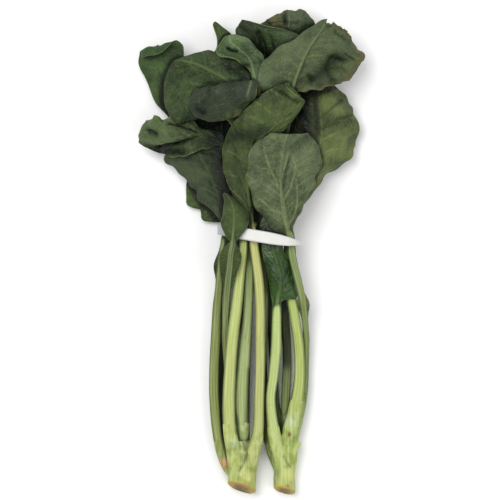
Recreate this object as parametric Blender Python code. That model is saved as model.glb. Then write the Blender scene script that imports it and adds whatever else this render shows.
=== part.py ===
"""A tied bunch of collard greens lying on a table: leaves on long stems, two cut stalks and a strap.

Units are metres, +Z is up and +Y points from the cut stalks to the leaf tips. The places of the leaves
are given in millimetres on a pattern sheet, as x to the right, y down and z up from the table.
"""

import math

import bmesh
import bpy
import numpy as np

MM = 0.001
SHEET_CENTRE_X = 251.6
SHEET_CENTRE_Y = 252.3

BLADE_THICKNESS = 0.8
JOINT_GAP = 0.3
RING_STEP_STEM = 24.0
RING_STEP_BLADE = 8.5
RING_PROBE = 1.0
STEM_RINGS_LEAST = 3
BLADE_RINGS_LEAST = 8
ROOT_RINGS = 5
JOINT_SEARCH_STEPS = 4000
MIDDLE_Y_COLUMN = 7

# How a leaf's ring spreads from a round stem to a thin blade: the share of the rib's radius and the
# share of the free blade beyond it, for each column from the left margin to the right one.
RIB_SHARE = np.array([-1.0, -0.9, -0.72, -0.42, 0.0, 0.42, 0.72, 0.9, 1.0])
BLADE_SHARE = np.array([-1.0, -0.68, -0.35, -0.04, 0.0, 0.04, 0.35, 0.68, 1.0])
STEM_HALF_SHARE = 0.65
STEM_DROP_SHARE = 0.35
STEM_FADE = 0.15
RIB_TOP_SHARE = 0.3
RIB_BOTTOM_SHARE = 0.9
FULL_RUFFLE_WIDTH = 25.0
SIDE_PHASE = 1.9
THINNEST_RIB = 0.5

# The height map that keeps each leaf clear of what lies under it.
CELL = 1.5
MAP_HALF_X = 130.0
MAP_HALF_Y = 260.0
LIFT_SLOPE = 0.5
LIFT_REACH_CELLS = 36
LIFT_BLUR_CELLS = 2
LIFT_CLEARANCE = 1.0
LIFT_ROUNDS = 4
LIFT_FADE = 16.0
POINT_ROWS = 16

LEAF_GREEN = (0.075, 0.115, 0.04)
LEAF_GREY = (0.095, 0.13, 0.065)
LEAF_BRIGHT = (0.10, 0.155, 0.045)
LEAF_DARK = (0.045, 0.07, 0.03)
STALK_GREEN = (0.45, 0.56, 0.19)
STRAP_WHITE = (0.86, 0.85, 0.82)


class Leaf:
    """The pattern of one leaf.

    stem holds (x, y, z, radius) from the root in the stalk to the blade, and the reach of the thin wings
    where it has them. blade holds, from the base to the tip, the left margin, the midrib and the right
    margin as (x, y, z), and the midrib's radius. A folded or rolled row also has a point halfway between
    the midrib and each margin. ruffle is the height of the waves, for the right half ruffle_right.
    """

    def __init__(self, name, stalk, cut_y, stem, blade, ruffle=2.0, waves=4.0, phase=0.0,
                 colour=LEAF_GREEN, lift_from_y=222.0, ruffle_right=None):
        self.name = name
        self.stalk = stalk
        self.cut_y = cut_y
        self.stem = stem
        self.blade = blade
        self.ruffle = ruffle
        self.ruffle_right = ruffle if ruffle_right is None else ruffle_right
        self.waves = waves
        self.phase = phase
        self.colour = colour
        self.lift_from_y = lift_from_y


# The leaves from the lowest to the highest.
LEAVES = [
    Leaf(
        "leaf_bottom_right", "stalk_right", 408.0,
        stem=[(284, 476, 12, 6), (281, 450, 9.5, 5), (275, 400, 8, 4.4), (273, 350, 8, 4.3),
              (270, 300, 9, 4.3), (268, 260, 11, 4.3), (267, 237, 12, 4.3)],
        blade=[
            ((263, 220, 9), (268, 217, 9), (273, 220, 9), 4.0),
            ((255, 200, 8), (272, 200, 9), (298, 205, 5), 3.4),
            ((256, 170, 5), (280, 170, 8), (322, 170, 4.4), 2.9),
            ((260, 135, 4.2), (288, 135, 8), (343, 135, 3.5), 2.5),
            ((262, 100, 4.2), (292, 100, 11), (336, 100, 4.2), 2.2),
            ((255, 65, 10), (292, 68, 18), (334, 65, 10), 1.9),
            ((256, 40, 22), (288, 42, 28), (322, 42, 20), 1.6),
            ((255, 31, 28), (289, 27, 34), (319, 30, 26), 1.2),
            ((266, 21, 31), (289, 10.5, 36), (305, 11.5, 33), 0.8),
        ],
        ruffle=3.0, waves=5.0, phase=0.6, colour=LEAF_DARK),
    Leaf(
        "leaf_bottom_left", "stalk_left", 408.0,
        stem=[(243, 474, 13, 6), (238, 450, 9.5, 5), (232, 400, 8, 4.4), (232, 350, 8, 4.3),
              (236, 300, 9, 4.3), (241, 260, 11, 4.3), (244, 237, 12, 4.3)],
        blade=[
            ((236, 224, 9), (240, 221, 9), (245, 223, 9), 4.0),
            ((204, 221, 8), (234, 209, 9), (254, 208, 8), 3.5),
            ((200, 210, 5), (230, 196, 9), (256, 195, 7), 3.2),
            ((187, 205, 5), (228, 183, 8), (258, 180, 6), 3.0),
            ((186, 189, 4), (226, 168, 8), (258, 164, 4), 2.8),
            ((187, 174, 4), (224, 152, 8), (258, 148, 3), 2.6),
            ((182, 146, 3), (222, 125, 9), (256, 118, 3), 2.4),
            ((180, 110, 3), (221, 95, 12), (254, 90, 5), 2.2),
            ((196, 75, 8), (221, 65, 16), (246, 60, 12), 1.8),
            ((217, 46, 16), (223, 42, 22), (234, 38, 20), 1.3),
            ((213, 25, 22), (215, 22.5, 24), (218.5, 24.5, 24), 0.8),
        ],
        ruffle=2.5, waves=5.0, phase=2.1, colour=LEAF_DARK),
    Leaf(
        "leaf_top_centre", "stalk_right", 408.0,
        stem=[(283, 474, 12, 6), (274, 450, 9.5, 5), (265, 400, 7.5, 4.2), (262, 350, 10, 4.2),
              (259, 300, 15, 4.2), (256, 260, 20, 4.2), (255, 237, 22, 4.2), (258, 200, 25, 4.0),
              (264, 160, 28, 3.8), (268, 120, 32, 3.6), (268, 90, 35, 3.4)],
        blade=[
            ((263, 74, 38), (267, 72, 37), (271, 74, 38), 3.0),
            ((247, 63, 41), (256, 62, 40), (267, 60, 34), (276, 60, 43), (285, 61, 43), 2.6),
            ((238, 48, 42), (251, 50, 42), (264, 49, 33), (279, 47, 46), (296, 50, 44), 2.2),
            ((236, 34, 41), (248, 37, 43), (261, 38, 35), (278, 35, 47), (298, 39, 44), 1.8),
            ((238, 27, 38), (256, 31, 38), (284, 31, 44), 1.3),
            ((242, 21, 37), (250, 22.5, 38), (262, 26.5, 41), 0.8),
        ],
        ruffle=1.5, waves=3.0, phase=0.0),
    Leaf(
        "leaf_right_low", "stalk_right", 392.0,
        stem=[(286, 478, 13, 7), (290, 458, 15, 6.8), (290, 434, 17, 8.0), (294, 414, 19, 6.8),
              (298.5, 388, 21, 5.9), (299.5, 365, 22, 5.3), (298, 340, 24, 5.2), (294.5, 317, 26, 5.1),
              (291, 295, 28, 4.8), (288.5, 265, 29, 4.3), (288, 237, 29, 4.3)],
        blade=[
            ((287, 219, 31), (291, 216, 31), (295, 218, 31), 3.4),
            ((282, 196, 30), (300, 192, 34), (316, 188, 24), 2.8),
            ((284, 165, 29), (314, 163, 36), (348, 158, 15), 2.4),
            ((283, 135, 28), (321, 136, 38), (357, 138, 13), 2.0),
            ((285, 112, 28), (320, 115, 38), (353, 113, 15), 1.7),
            ((292, 95, 28), (318, 95, 35), (346, 98, 18), 1.4),
            ((308, 82, 28), (318, 80, 30), (330, 83, 25), 0.9),
        ],
        ruffle=2.5, waves=4.0, phase=1.0, colour=LEAF_BRIGHT),
    Leaf(
        "leaf_left_outer", "stalk_left", 408.0,
        stem=[(241, 474, 12, 6), (230, 448, 9.5, 5), (220, 400, 8, 4.2), (221, 350, 8, 4.2),
              (225, 300, 11, 4.2), (229, 260, 15, 4.2), (231, 237, 17, 4.2), (226, 212, 17, 4.0),
              (212, 180, 15, 3.8), (193, 150, 13, 3.6), (178, 128, 12, 3.4)],
        blade=[
            ((168, 117, 12), (172, 115, 12), (176, 114, 13), 2.6),
            ((156, 103, 8), (166, 98, 13), (179, 95, 20), 2.0),
            ((146, 80, 9), (160, 80, 15), (183, 76, 26), 1.6),
            ((139, 63, 12), (156, 62, 19), (184, 61, 28), 1.3),
            ((140, 53, 18), (148, 49, 22), (158, 48, 24), (171, 47, 26), (184, 47, 27), 1.1),
            ((141, 52, 25), (149, 48.5, 29), (158, 48, 30.5), (167, 44, 30), (177, 41, 28), 1.0),
            ((142, 59, 29), (150, 57, 33), (158, 56, 34), (164, 52, 35), (171, 45, 33), 0.9),
        ],
        ruffle=2.0, waves=3.0, phase=2.6),
    Leaf(
        "leaf_low_left", "stalk_left", 432.0,
        stem=[(240, 478, 14, 6), (228, 466, 14, 5.6), (219, 440, 15, 5.2), (214.5, 400, 16, 5.0),
              (214.5, 365, 18, 5.0), (216, 336, 20, 5.0), (217.5, 307, 22, 4.7), (220, 281, 25, 4.3),
              (221.5, 266, 26.5, 4.3, 3.5), (223.5, 250, 28, 4.2), (226, 236, 29, 4.2)],
        blade=[
            ((223, 225, 31), (227, 222, 33), (231, 221, 34), 3.2),
            ((211, 209, 24), (222, 205, 36), (236, 204, 38), 2.6),
            ((198, 196, 18), (216, 189, 39), (232, 186, 41), 2.2),
            ((188, 179, 15), (208, 170, 40), (228, 166, 43), 1.9),
            ((174, 169, 15), (200, 156, 39), (226, 148, 44), 1.6),
            ((165, 157, 18), (191, 146, 37), (222, 134, 43), 1.3),
            ((175, 147, 24), (190, 139, 33), (208, 130, 38), 0.9),
        ],
        ruffle=2.0, waves=3.5, phase=0.4, colour=LEAF_DARK),
    Leaf(
        "leaf_left_crumpled", "stalk_left", 408.0,
        stem=[(243, 476, 13, 6), (243, 450, 10, 5), (244, 400, 8.6, 4.2), (245, 350, 11, 4.2),
              (243, 300, 18, 4.2), (239.5, 260, 26, 4.2), (239, 237, 30, 4.2), (241, 210, 38, 3.8),
              (242, 180, 43, 3.4), (238, 157, 46, 3.0)],
        blade=[
            ((221, 147, 48), (219.5, 143, 49), (218, 139, 49), 2.6),
            ((207, 149, 42), (206, 139, 50), (205, 130, 47), 2.2),
            ((194, 155, 36), (193, 143, 40), (193, 138, 49), (193, 131, 50), (193, 125, 44), 1.8),
            ((180, 159, 29), (178, 146, 33), (178, 141.5, 46), (178, 131, 49), (178, 121, 42), 1.5),
            ((165, 156, 24), (163, 147, 27), (163, 143, 42), (163, 129, 46), (163, 117, 38), 1.2),
            ((152, 151, 21), (150, 144, 24), (150, 140, 35), (150, 128, 40), (154, 118, 34), 1.0),
            ((138.5, 143, 20), (137.5, 140, 23), (139, 135, 29), (142, 128, 33), (146, 121, 30), 0.8),
        ],
        ruffle=4.0, waves=4.5, phase=1.2, colour=LEAF_GREY),
    Leaf(
        "leaf_big_left", "stalk_left", 415.0,
        stem=[(243, 476, 13, 6), (243, 452, 15, 6.2), (242.5, 430, 18.5, 7.0), (242, 400, 22.5, 7.6),
              (243, 374, 24, 7.0), (245, 346, 25, 6.2), (247, 326, 26, 5.2), (248.5, 298, 28, 4.8),
              (249.5, 272, 30, 4.4), (249.5, 250, 31.5, 4.4), (249, 237, 32, 4.4), (247, 210, 38, 4.2),
              (246, 170, 44, 4.0), (248, 135, 50, 3.8)],
        blade=[
            ((241, 112, 53), (247, 110, 54), (253, 108, 55), 3.0),
            ((224, 115, 49), (239, 96, 57), (257, 90, 57), 2.4),
            ((203, 119, 42), (228, 83, 59), (250, 71, 57), 1.9),
            ((180, 124, 31), (211, 73, 56), (231, 60, 55), 1.6),
            ((166.5, 111, 25), (194, 65, 51), (212, 54, 50), 1.3),
            ((165, 86, 26), (181, 62, 45), (196, 57, 45), 1.1),
            ((169, 70, 31), (175, 62, 39), (182, 60, 41), 0.8),
        ],
        ruffle=1.5, waves=3.5, phase=0.2),
    Leaf(
        "leaf_hollow", "stalk_right", 408.0,
        stem=[(283, 476, 13, 6), (271, 448, 14, 5), (261, 400, 17.5, 4.2), (263, 350, 22, 4.2),
              (264, 300, 26, 4.2), (263.5, 260, 29.5, 4.2), (263, 237, 31, 4.2), (264, 200, 36, 4.0),
              (264, 160, 42, 3.8), (263, 120, 48, 3.4), (261, 98, 52, 3.0)],
        blade=[
            ((253, 84, 57), (257, 84, 57), (261, 84, 58), 2.2),
            ((250, 73, 60), (254, 74, 59), (264, 74, 61), 1.8),
            ((238, 64, 67), (242, 61, 59), (249, 60, 56), (257, 59, 61), (264, 62, 62), 1.5),
            ((226, 61, 67), (230, 55, 57), (239, 51, 55), (248, 48, 60), (257, 50, 60), 1.2),
            ((216, 54, 64), (221, 48, 58), (231, 44, 56), (239, 41, 59), (247, 41, 57), 1.0),
            ((224, 40, 58), (229, 37, 56), (236, 36.5, 56), 0.8),
        ],
        ruffle=1.5, waves=3.0, phase=1.8, colour=LEAF_GREY),
    Leaf(
        "leaf_right_top", "stalk_right", 408.0,
        stem=[(284, 478, 13, 6), (285, 450, 11, 5), (285.5, 400, 10.5, 4.5), (287, 360, 12, 4.5),
              (285, 320, 15, 4.5), (281, 290, 17, 4.5), (279, 260, 19, 4.4), (278, 237, 20.5, 4.4),
              (276, 210, 30, 4.2), (278, 180, 40, 4.0), (284, 140, 47, 3.8), (289, 112, 52, 3.6)],
        blade=[
            ((286, 97, 57), (290, 95, 57), (295, 95, 57), 2.8),
            ((258, 93, 58), (293, 85, 62), (322, 91, 56), 2.4),
            ((257, 78, 58), (277, 75, 62), (298, 72, 64), (322, 78, 60), (347, 84, 41), 2.0),
            ((265, 61, 58), (285, 57, 62), (305, 56, 64), (330, 61, 50), (361, 70, 38), 1.7),
            ((283, 47, 56), (298, 44, 60), (313, 43, 62), (337, 49, 57), (362, 52, 35), 1.4),
            ((301, 36, 54), (311, 34, 57), (321, 32, 58), (334, 33, 49), (349, 33, 41), 1.1),
            ((317, 25, 52), (326, 21, 52), (335, 26, 45), 0.8),
        ],
        ruffle=1.5, waves=4.5, phase=0.9, colour=LEAF_GREY, ruffle_right=4.5),
    Leaf(
        "leaf_wet_small", "stalk_right", 418.0,
        stem=[(283, 478, 13, 7), (280, 457, 17, 7.8), (274.5, 436, 21, 6.4), (270.5, 400, 26, 4.9),
              (273.5, 374, 28, 5.2), (276, 346, 30, 5.4), (276.5, 317, 32, 4.8)],
        blade=[
            ((272, 302, 34), (277, 299, 34), (282, 301, 34), 3.4),
            ((270, 288, 34), (280, 288, 38), (297, 297, 29), 3.0),
            ((269, 275, 36), (280, 275, 40), (297, 281, 29), 2.6),
            ((264, 261, 38), (277, 262, 41), (291, 265, 33), 2.4),
            ((261, 249, 40), (273, 249, 42), (284, 250, 38), 2.2),
            ((261, 237, 41), (271, 237, 42), (281, 237, 41), 2.2),
            ((260, 226, 42), (271, 224, 43), (282, 225, 43), 1.8),
            ((264, 212, 44), (270, 207, 44), (277, 211, 44), 0.8),
        ],
        ruffle=1.2, waves=4.0, phase=0.5, colour=LEAF_DARK, lift_from_y=330.0),
    Leaf(
        "leaf_curled_grey", "stalk_left", 415.0,
        stem=[(236, 478, 17, 6.6), (234, 455, 24, 7.0), (230, 430, 30, 6.4), (229, 400, 34, 6.4),
              (230.5, 365, 36, 6.0), (233, 336, 37, 5.8), (236.5, 307, 38.5, 5.8), (239.5, 279, 40, 5.2),
              (243, 250, 42, 4.4), (243.5, 237, 42.5, 4.2), (244, 212, 47, 4.0), (243, 180, 52, 3.8),
              (241, 150, 57, 3.6)],
        blade=[
            ((235, 132, 60), (240, 130, 60), (245, 131, 60), 2.8),
            ((221, 115, 61), (242, 110, 63), (258, 112, 62), 2.4),
            ((207, 99, 64), (240, 93, 67), (260, 92, 65), 2.0),
            ((199, 92, 70), (236, 84, 73), (258, 84, 70), 1.6),
            ((193, 97, 70), (207, 91, 77), (230, 90, 79), (246, 88, 78), (257, 88, 74), 1.4),
            ((190, 106, 68), (204, 103, 75), (226, 102, 77), (242, 101, 76), (253, 99, 72), 1.2),
            ((197, 119, 64), (208, 115, 71), (225, 113, 73), (239, 110, 72), (249, 107, 69), 1.0),
            ((209, 123, 65), (224, 122, 68), (239, 117, 68), 0.8),
        ],
        ruffle=1.5, waves=4.0, phase=2.4, colour=LEAF_GREY),
    Leaf(
        "leaf_centre_folded", "stalk_left", 425.0,
        stem=[(246.5, 480, 16, 8.4), (250.5, 458, 21, 7.8), (257.5, 434, 27, 5.8), (259, 400, 30, 5.1),
              (260, 365, 32, 5.1), (260, 336, 35, 5.1), (260, 307, 38, 5.1), (258.5, 279, 41, 5.0),
              (254.5, 250, 43.5, 4.6), (253, 237, 44, 4.5)],
        blade=[
            ((247, 221, 49), (251, 219, 50), (254, 220, 49), 3.2),
            ((231, 193, 47), (247.5, 198, 56), (253, 199, 48), 2.6),
            ((224, 170, 47), (246.5, 178, 60), (253, 179, 49), 2.2),
            ((222, 148, 49), (248, 160, 63), (255, 162, 51), 1.9),
            ((230, 130, 53), (255, 144, 66), (263, 148, 54), 1.7),
            ((243, 113, 58), (268, 133, 67), (276, 138, 56), 1.6),
            ((258, 99, 63), (281, 121, 67), (288, 126, 57), 1.4),
            ((274, 89, 66), (292, 109, 66), (298, 114, 59), 1.2),
            ((288, 85, 69), (299, 98, 69), (304, 103, 65), 1.0),
            ((286, 90, 75), (295, 97, 78), (301, 101, 75), 0.8),
        ],
        ruffle=1.2, waves=4.0, phase=0.0, colour=LEAF_BRIGHT),
    Leaf(
        "leaf_front_right", "stalk_right", 385.0,
        stem=[(292, 445, 16, 4), (300, 415, 15, 3.6), (304.5, 390, 14, 3.3), (305.5, 365, 14, 3.3),
              (306, 340, 17, 3.3), (304.5, 317, 22, 3.4), (303, 304, 25, 3.4, 3), (301, 293, 28, 3.6),
              (296.5, 275, 35, 3.8), (292, 255, 39.5, 3.9), (290.5, 237, 41.5, 3.9)],
        blade=[
            ((273, 230, 44.5), (286, 228, 45), (292.5, 229, 45), 3.4),
            ((264, 218, 49), (284, 213, 52), (299, 214, 46), 3.0),
            ((253, 204, 52), (282, 199, 57), (308, 198, 45), 2.6),
            ((247, 180, 53), (279.5, 181, 61), (315, 181, 44), 2.2),
            ((247, 160, 53), (281, 163, 63), (320, 163, 43), 1.8),
            ((256, 144, 55), (283, 149, 63), (319, 148, 46), 1.4),
            ((271, 134, 58), (287, 135, 61), (307, 134, 55), 0.9),
        ],
        ruffle=2.0, waves=4.0, phase=0.3, colour=LEAF_GREY, lift_from_y=300.0),
    Leaf(
        "leaf_over_band", "stalk_left", 415.0,
        stem=[(242, 474, 16, 5), (235.5, 448, 16.5, 4.4), (229.4, 400, 18.5, 4.2), (228, 365, 24.5, 4.2),
              (226, 336, 29, 4.0), (226, 307, 36, 3.9), (228, 283, 45, 3.7, 1.5), (230, 266, 51, 3.5, 6),
              (231, 254, 55, 3.2, 7.5), (233, 242, 58, 3.0)],
        blade=[
            ((229, 241, 58), (233, 238, 59.5), (238, 240, 58), 2.4),
            ((222, 228, 56), (234, 224, 61), (247, 227, 57), 2.0),
            ((222, 214, 54), (234, 211, 62), (249, 216, 58), 1.6),
            ((225, 203, 54), (231, 201, 60), (241, 206, 59), 1.2),
            ((223, 195, 55), (225.5, 193.5, 57), (232, 197, 58), 0.8),
        ],
        ruffle=1.0, waves=2.5, phase=1.1, colour=LEAF_GREEN, lift_from_y=262.0),
]

# Each stalk's butt as (x, y, z, radius) up from the cut face. The cut slopes by CUT_RAKE towards +Z, and
# by CUT_SLANT down to the right.
STALKS = {
    "stalk_left": [
        (241.5, 487, 13.6, 14.2), (242, 474, 13.6, 14.0), (243, 458, 15, 12.0), (243, 440, 16, 8.0)],
    "stalk_right": [
        (284.5, 490, 10.3, 10.9), (284, 476, 10.3, 10.6), (285, 460, 12, 9.0), (287, 445, 13.5, 6.5)],
}
STALK_SIDES = 16
BUTT_RINGS = 8
WELD_DISTANCE = 0.02
CUT_RAKE = 0.35
CUT_SLANT = 0.28

# The strap is a closed loop of flat tape: its centre line as (x, z), its width, and the slant of its run.
STRAP_CENTRE = (259.0, 28.5)
STRAP_HALF_X = 40.5
STRAP_HALF_Z = 24.5
STRAP_SQUARENESS = 2.8
STRAP_THICKNESS = 0.8
STRAP_WIDTH_FRONT = 12.0
STRAP_WIDTH_BACK = 7.0
STRAP_PINCH = 6.5
STRAP_PINCH_POWER = 2
STRAP_Y_MIDDLE = 236.5
STRAP_SLANT = 0.17
STRAP_STEPS = 72


def material(name, colour, roughness):
    """Return a plain principled material."""
    made = bpy.data.materials.new(name)
    made.use_nodes = True
    shader = made.node_tree.nodes["Principled BSDF"]
    shader.inputs["Base Color"].default_value = (*colour, 1.0)
    shader.inputs["Roughness"].default_value = roughness
    shader.inputs["Metallic"].default_value = 0.0
    return made


def to_frame(points):
    """Turn sheet points (x right, y down, z up) into the part's frame, still in millimetres."""
    points = np.asarray(points, float)
    placed = points.copy()
    placed[..., 0] = points[..., 0] - SHEET_CENTRE_X
    placed[..., 1] = SHEET_CENTRE_Y - points[..., 1]
    return placed


def smooth_curve(knots, values, at):
    """Read a smooth curve through values at the knots: a cubic Hermite with averaged slopes."""
    knots = np.asarray(knots, float)
    values = np.asarray(values, float)
    slopes = np.empty_like(values)
    slopes[1:-1] = (values[2:] - values[:-2]) / (knots[2:] - knots[:-2])[:, None]
    slopes[0] = (values[1] - values[0]) / (knots[1] - knots[0])
    slopes[-1] = (values[-1] - values[-2]) / (knots[-1] - knots[-2])
    span = np.clip(np.searchsorted(knots, at, side="right") - 1, 0, len(knots) - 2)
    width = (knots[span + 1] - knots[span])[:, None]
    t = (at - knots[span])[:, None] / width
    return (
        (2 * t**3 - 3 * t**2 + 1) * values[span]
        + (t**3 - 2 * t**2 + t) * width * slopes[span]
        + (3 * t**2 - 2 * t**3) * values[span + 1]
        + (t**3 - t**2) * width * slopes[span + 1]
    )


def unit(vectors):
    """Scale vectors to length one along the last axis."""
    return vectors / np.maximum(np.linalg.norm(vectors, axis=-1, keepdims=True), 1e-9)


def five_points(row):
    """Return a blade row's five points across, from the left margin to the right one.

    Where the row has only three, the other two are on the parabola through them.
    """
    points = np.asarray(row[:-1], float)
    if len(points) == 5:
        return to_frame(points)
    left, middle, right = points
    arch = 0.5 * (left + right) - middle
    half_left = middle - 0.25 * (right - left) + 0.25 * arch
    half_right = middle + 0.25 * (right - left) + 0.25 * arch
    return to_frame([left, half_left, middle, half_right, right])


def stations(leaf):
    """Return the leaf's knots, and for each its five points across and its rib's radius in one row."""
    stem = np.array([(*knot, 0.0)[:5] for knot in leaf.stem], float)
    centre = to_frame(stem[:, :3])
    blade = np.array([five_points(row) for row in leaf.blade])
    middle = np.vstack([centre, blade[:, 2]])
    along = np.gradient(middle, axis=0)
    level = unit(np.cross(along, np.array([0.0, 0.0, 1.0])))[: len(stem)]
    sideways = level * stem[:, 3:].sum(axis=1, keepdims=True)
    across = centre[:, None] + np.array([-1.0, -0.5, 0.0, 0.5, 1.0])[None, :, None] * sideways[:, None]
    points = np.concatenate([across, blade]).reshape(-1, 15)
    radii = np.concatenate([stem[:, 3], [row[-1] for row in leaf.blade]])
    knots = np.concatenate([[0.0], np.cumsum(np.linalg.norm(np.diff(middle, axis=0), axis=1))])
    return knots, np.hstack([points, radii[:, None]])


def across_curve(points, v):
    """Read each ring's smooth curve through its five points, at v from -1 to 1 on the ring."""
    slopes = np.empty_like(points)
    slopes[:, 1:-1] = points[:, 2:] - points[:, :-2]
    slopes[:, 0] = -3 * points[:, 0] + 4 * points[:, 1] - points[:, 2]
    slopes[:, -1] = 3 * points[:, -1] - 4 * points[:, -2] + points[:, -3]
    place = (v + 1.0) * 2.0
    span = np.clip(np.floor(place).astype(int), 0, 3)
    t = (place - span)[..., None]
    ring = np.arange(len(points))[:, None]
    return (
        (2 * t**3 - 3 * t**2 + 1) * points[ring, span]
        + 0.5 * (t**3 - 2 * t**2 + t) * slopes[ring, span]
        + (3 * t**2 - 2 * t**3) * points[ring, span + 1]
        + 0.5 * (t**3 - t**2) * slopes[ring, span + 1]
    )


def joint_place(leaf, knots, rows):
    """Return how far along the leaf its joint with the stalk is."""
    fine = np.linspace(knots[0], knots[-1], JOINT_SEARCH_STEPS)
    middle_y = smooth_curve(knots, rows, fine)[:, MIDDLE_Y_COLUMN]
    return fine[np.argmax(middle_y >= SHEET_CENTRE_Y - leaf.cut_y)]


def blade_place(leaf, knots):
    """Return how far along the leaf its blade begins."""
    last = len(leaf.stem) - 1
    return 0.5 * (knots[last] + knots[last + 1])


def leaf_places(leaf, knots, rows):
    """Choose where the leaf's rings stand. The first only gives the direction of the second."""
    start = joint_place(leaf, knots, rows) + JOINT_GAP
    blade_start = blade_place(leaf, knots)
    stem_rings = max(STEM_RINGS_LEAST, int(round((blade_start - start) / RING_STEP_STEM)))
    blade_rings = max(BLADE_RINGS_LEAST, int(round((knots[-1] - blade_start) / RING_STEP_BLADE)))
    return np.concatenate([
        [start - RING_PROBE, start],
        np.linspace(start + RING_PROBE, blade_start, stem_rings, endpoint=False),
        np.linspace(blade_start, knots[-1], blade_rings + 1),
    ])


def root_places(leaf, knots, rows):
    """Choose where the rings of a stem's root stand. The last only gives the direction of the one before."""
    end = joint_place(leaf, knots, rows)
    return np.concatenate([np.linspace(knots[0], end - RING_PROBE, ROOT_RINGS), [end, end + RING_PROBE]])


def middle_surface(leaf, choose_places):
    """Work out the leaf's middle surface as a grid of rings and columns, and how far its rib stands out.

    In the stem the section is an oval, lowered so that its top stays near the middle surface. In the
    blade the rib stands out mostly below.
    """
    knots, rows = stations(leaf)
    places = choose_places(leaf, knots, rows)
    blade_start = blade_place(leaf, knots)
    read = smooth_curve(knots, rows, places)
    points = read[:, :15].reshape(-1, 5, 3)
    radius = np.maximum(read[:, 15], THINNEST_RIB)
    steps = np.linalg.norm(np.diff(points, axis=1), axis=2)
    half_left, half_right = steps[:, :2].sum(axis=1), steps[:, 2:].sum(axis=1)
    half = np.where(RIB_SHARE[None, :] < 0, half_left[:, None], half_right[:, None])
    reach = RIB_SHARE * radius[:, None] + BLADE_SHARE * np.maximum(half - radius[:, None], 0.0)
    v = np.clip(reach / np.maximum(half, 1e-6), -1.0, 1.0)
    surface = across_curve(points, v)
    normal = surface_normals(surface)
    growth = np.clip((places - blade_start) / (knots[-1] - blade_start), 0.0, 1.0)
    swell = np.sqrt(np.sin(math.pi * growth))
    side_turn = np.where(v < 0, leaf.phase, leaf.phase + SIDE_PHASE)
    wave = np.sin(2 * math.pi * leaf.waves * growth[:, None] + side_turn)
    room = np.clip(half / FULL_RUFFLE_WIDTH, 0.0, 1.0)
    height = np.where(v < 0, leaf.ruffle, leaf.ruffle_right)
    surface = surface + normal * (height * swell[:, None] * wave * room * v**2)[..., None]
    share = np.clip(1.0 - (reach / radius[:, None]) ** 2, 0.0, 1.0)
    rib = radius[:, None] * np.sqrt(share)
    stem = np.clip(1.0 - growth / STEM_FADE, 0.0, 1.0)[:, None]
    drop = STEM_DROP_SHARE * stem * radius[:, None] * np.clip(radius[:, None] / half, 0.0, 1.0) ** 2
    over = (STEM_HALF_SHARE * stem + RIB_TOP_SHARE * (1.0 - stem)) * rib - drop
    beneath = (STEM_HALF_SHARE * stem + RIB_BOTTOM_SHARE * (1.0 - stem)) * rib + drop
    return surface, over, beneath


def surface_normals(surface):
    """Return the upward normals of a grid surface, evened out across its columns.

    The tip's ring is short and its own direction is unsure, so it takes the normals of the ring before.
    """
    across = np.gradient(surface, axis=1)
    along = np.gradient(surface, axis=0)
    normal = unit(np.cross(across, along))
    normal[-1] = normal[-2]
    beside = np.pad(normal, ((0, 0), (1, 1), (0, 0)), mode="edge")
    return unit(beside[:, :-2] + 2.0 * normal + beside[:, 2:])


def skins(surface, over, beneath):
    """Return the upper and lower skins of a leaf: its middle surface, its blade's thickness and its rib."""
    normal = surface_normals(surface)
    half = 0.5 * BLADE_THICKNESS
    upper = surface + normal * (half + over)[..., None]
    lower = surface - normal * (half + beneath)[..., None]
    return upper, lower


def leaf_mesh(upper, lower, kept):
    """Close the kept rings of two skins into one shell; both skins are split into triangles alike."""
    upper, lower = upper[kept], lower[kept]
    rings, columns = upper.shape[:2]
    vertices = np.concatenate([upper.reshape(-1, 3), lower.reshape(-1, 3)])
    index = np.arange(rings * columns).reshape(rings, columns)
    below = index + rings * columns
    a, b = index[:-1, :-1].ravel(), index[:-1, 1:].ravel()
    c, d = index[1:, 1:].ravel(), index[1:, :-1].ravel()
    shift = rings * columns
    faces = [np.stack([a, b, c], 1), np.stack([a, c, d], 1)]
    faces += [np.stack([a, c, b], 1) + shift, np.stack([a, d, c], 1) + shift]
    for edge_top, edge_low, turn in (
        (index[:, 0], below[:, 0], False),
        (index[:, -1], below[:, -1], True),
        (index[0, :], below[0, :], True),
        (index[-1, :], below[-1, :], False),
    ):
        p, q = edge_top[:-1], edge_top[1:]
        r, s = edge_low[1:], edge_low[:-1]
        strip = [np.stack([p, q, r], 1), np.stack([p, r, s], 1)]
        faces += [tri[:, ::-1] if turn else tri for tri in strip]
    return vertices, np.concatenate(faces)


class HeightMap:
    """The height of what lies below, cell by cell."""

    def __init__(self):
        self.size = (int(2 * MAP_HALF_X / CELL), int(2 * MAP_HALF_Y / CELL))
        self.top = np.zeros(self.size)

    def cells(self, points):
        """Return the cell of each point."""
        x = np.clip(((points[:, 0] + MAP_HALF_X) / CELL).astype(int), 0, self.size[0] - 1)
        y = np.clip(((points[:, 1] + MAP_HALF_Y) / CELL).astype(int), 0, self.size[1] - 1)
        return x, y

    def add(self, vertices, faces):
        """Raise the map to the top of a mesh."""
        points = points_on(vertices, faces)
        np.maximum.at(self.top, self.cells(points), points[:, 2])

    def needed(self, vertices, faces):
        """Return how far a mesh has to rise in each cell to clear what lies below."""
        points = points_on(vertices, faces)
        low = np.full(self.size, np.inf)
        np.minimum.at(low, self.cells(points), points[:, 2])
        clearance = np.where(self.top > 0.0, LIFT_CLEARANCE, 0.0)
        need = np.where(np.isfinite(low), self.top + clearance - low, 0.0)
        return np.clip(need, 0.0, None)


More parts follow.
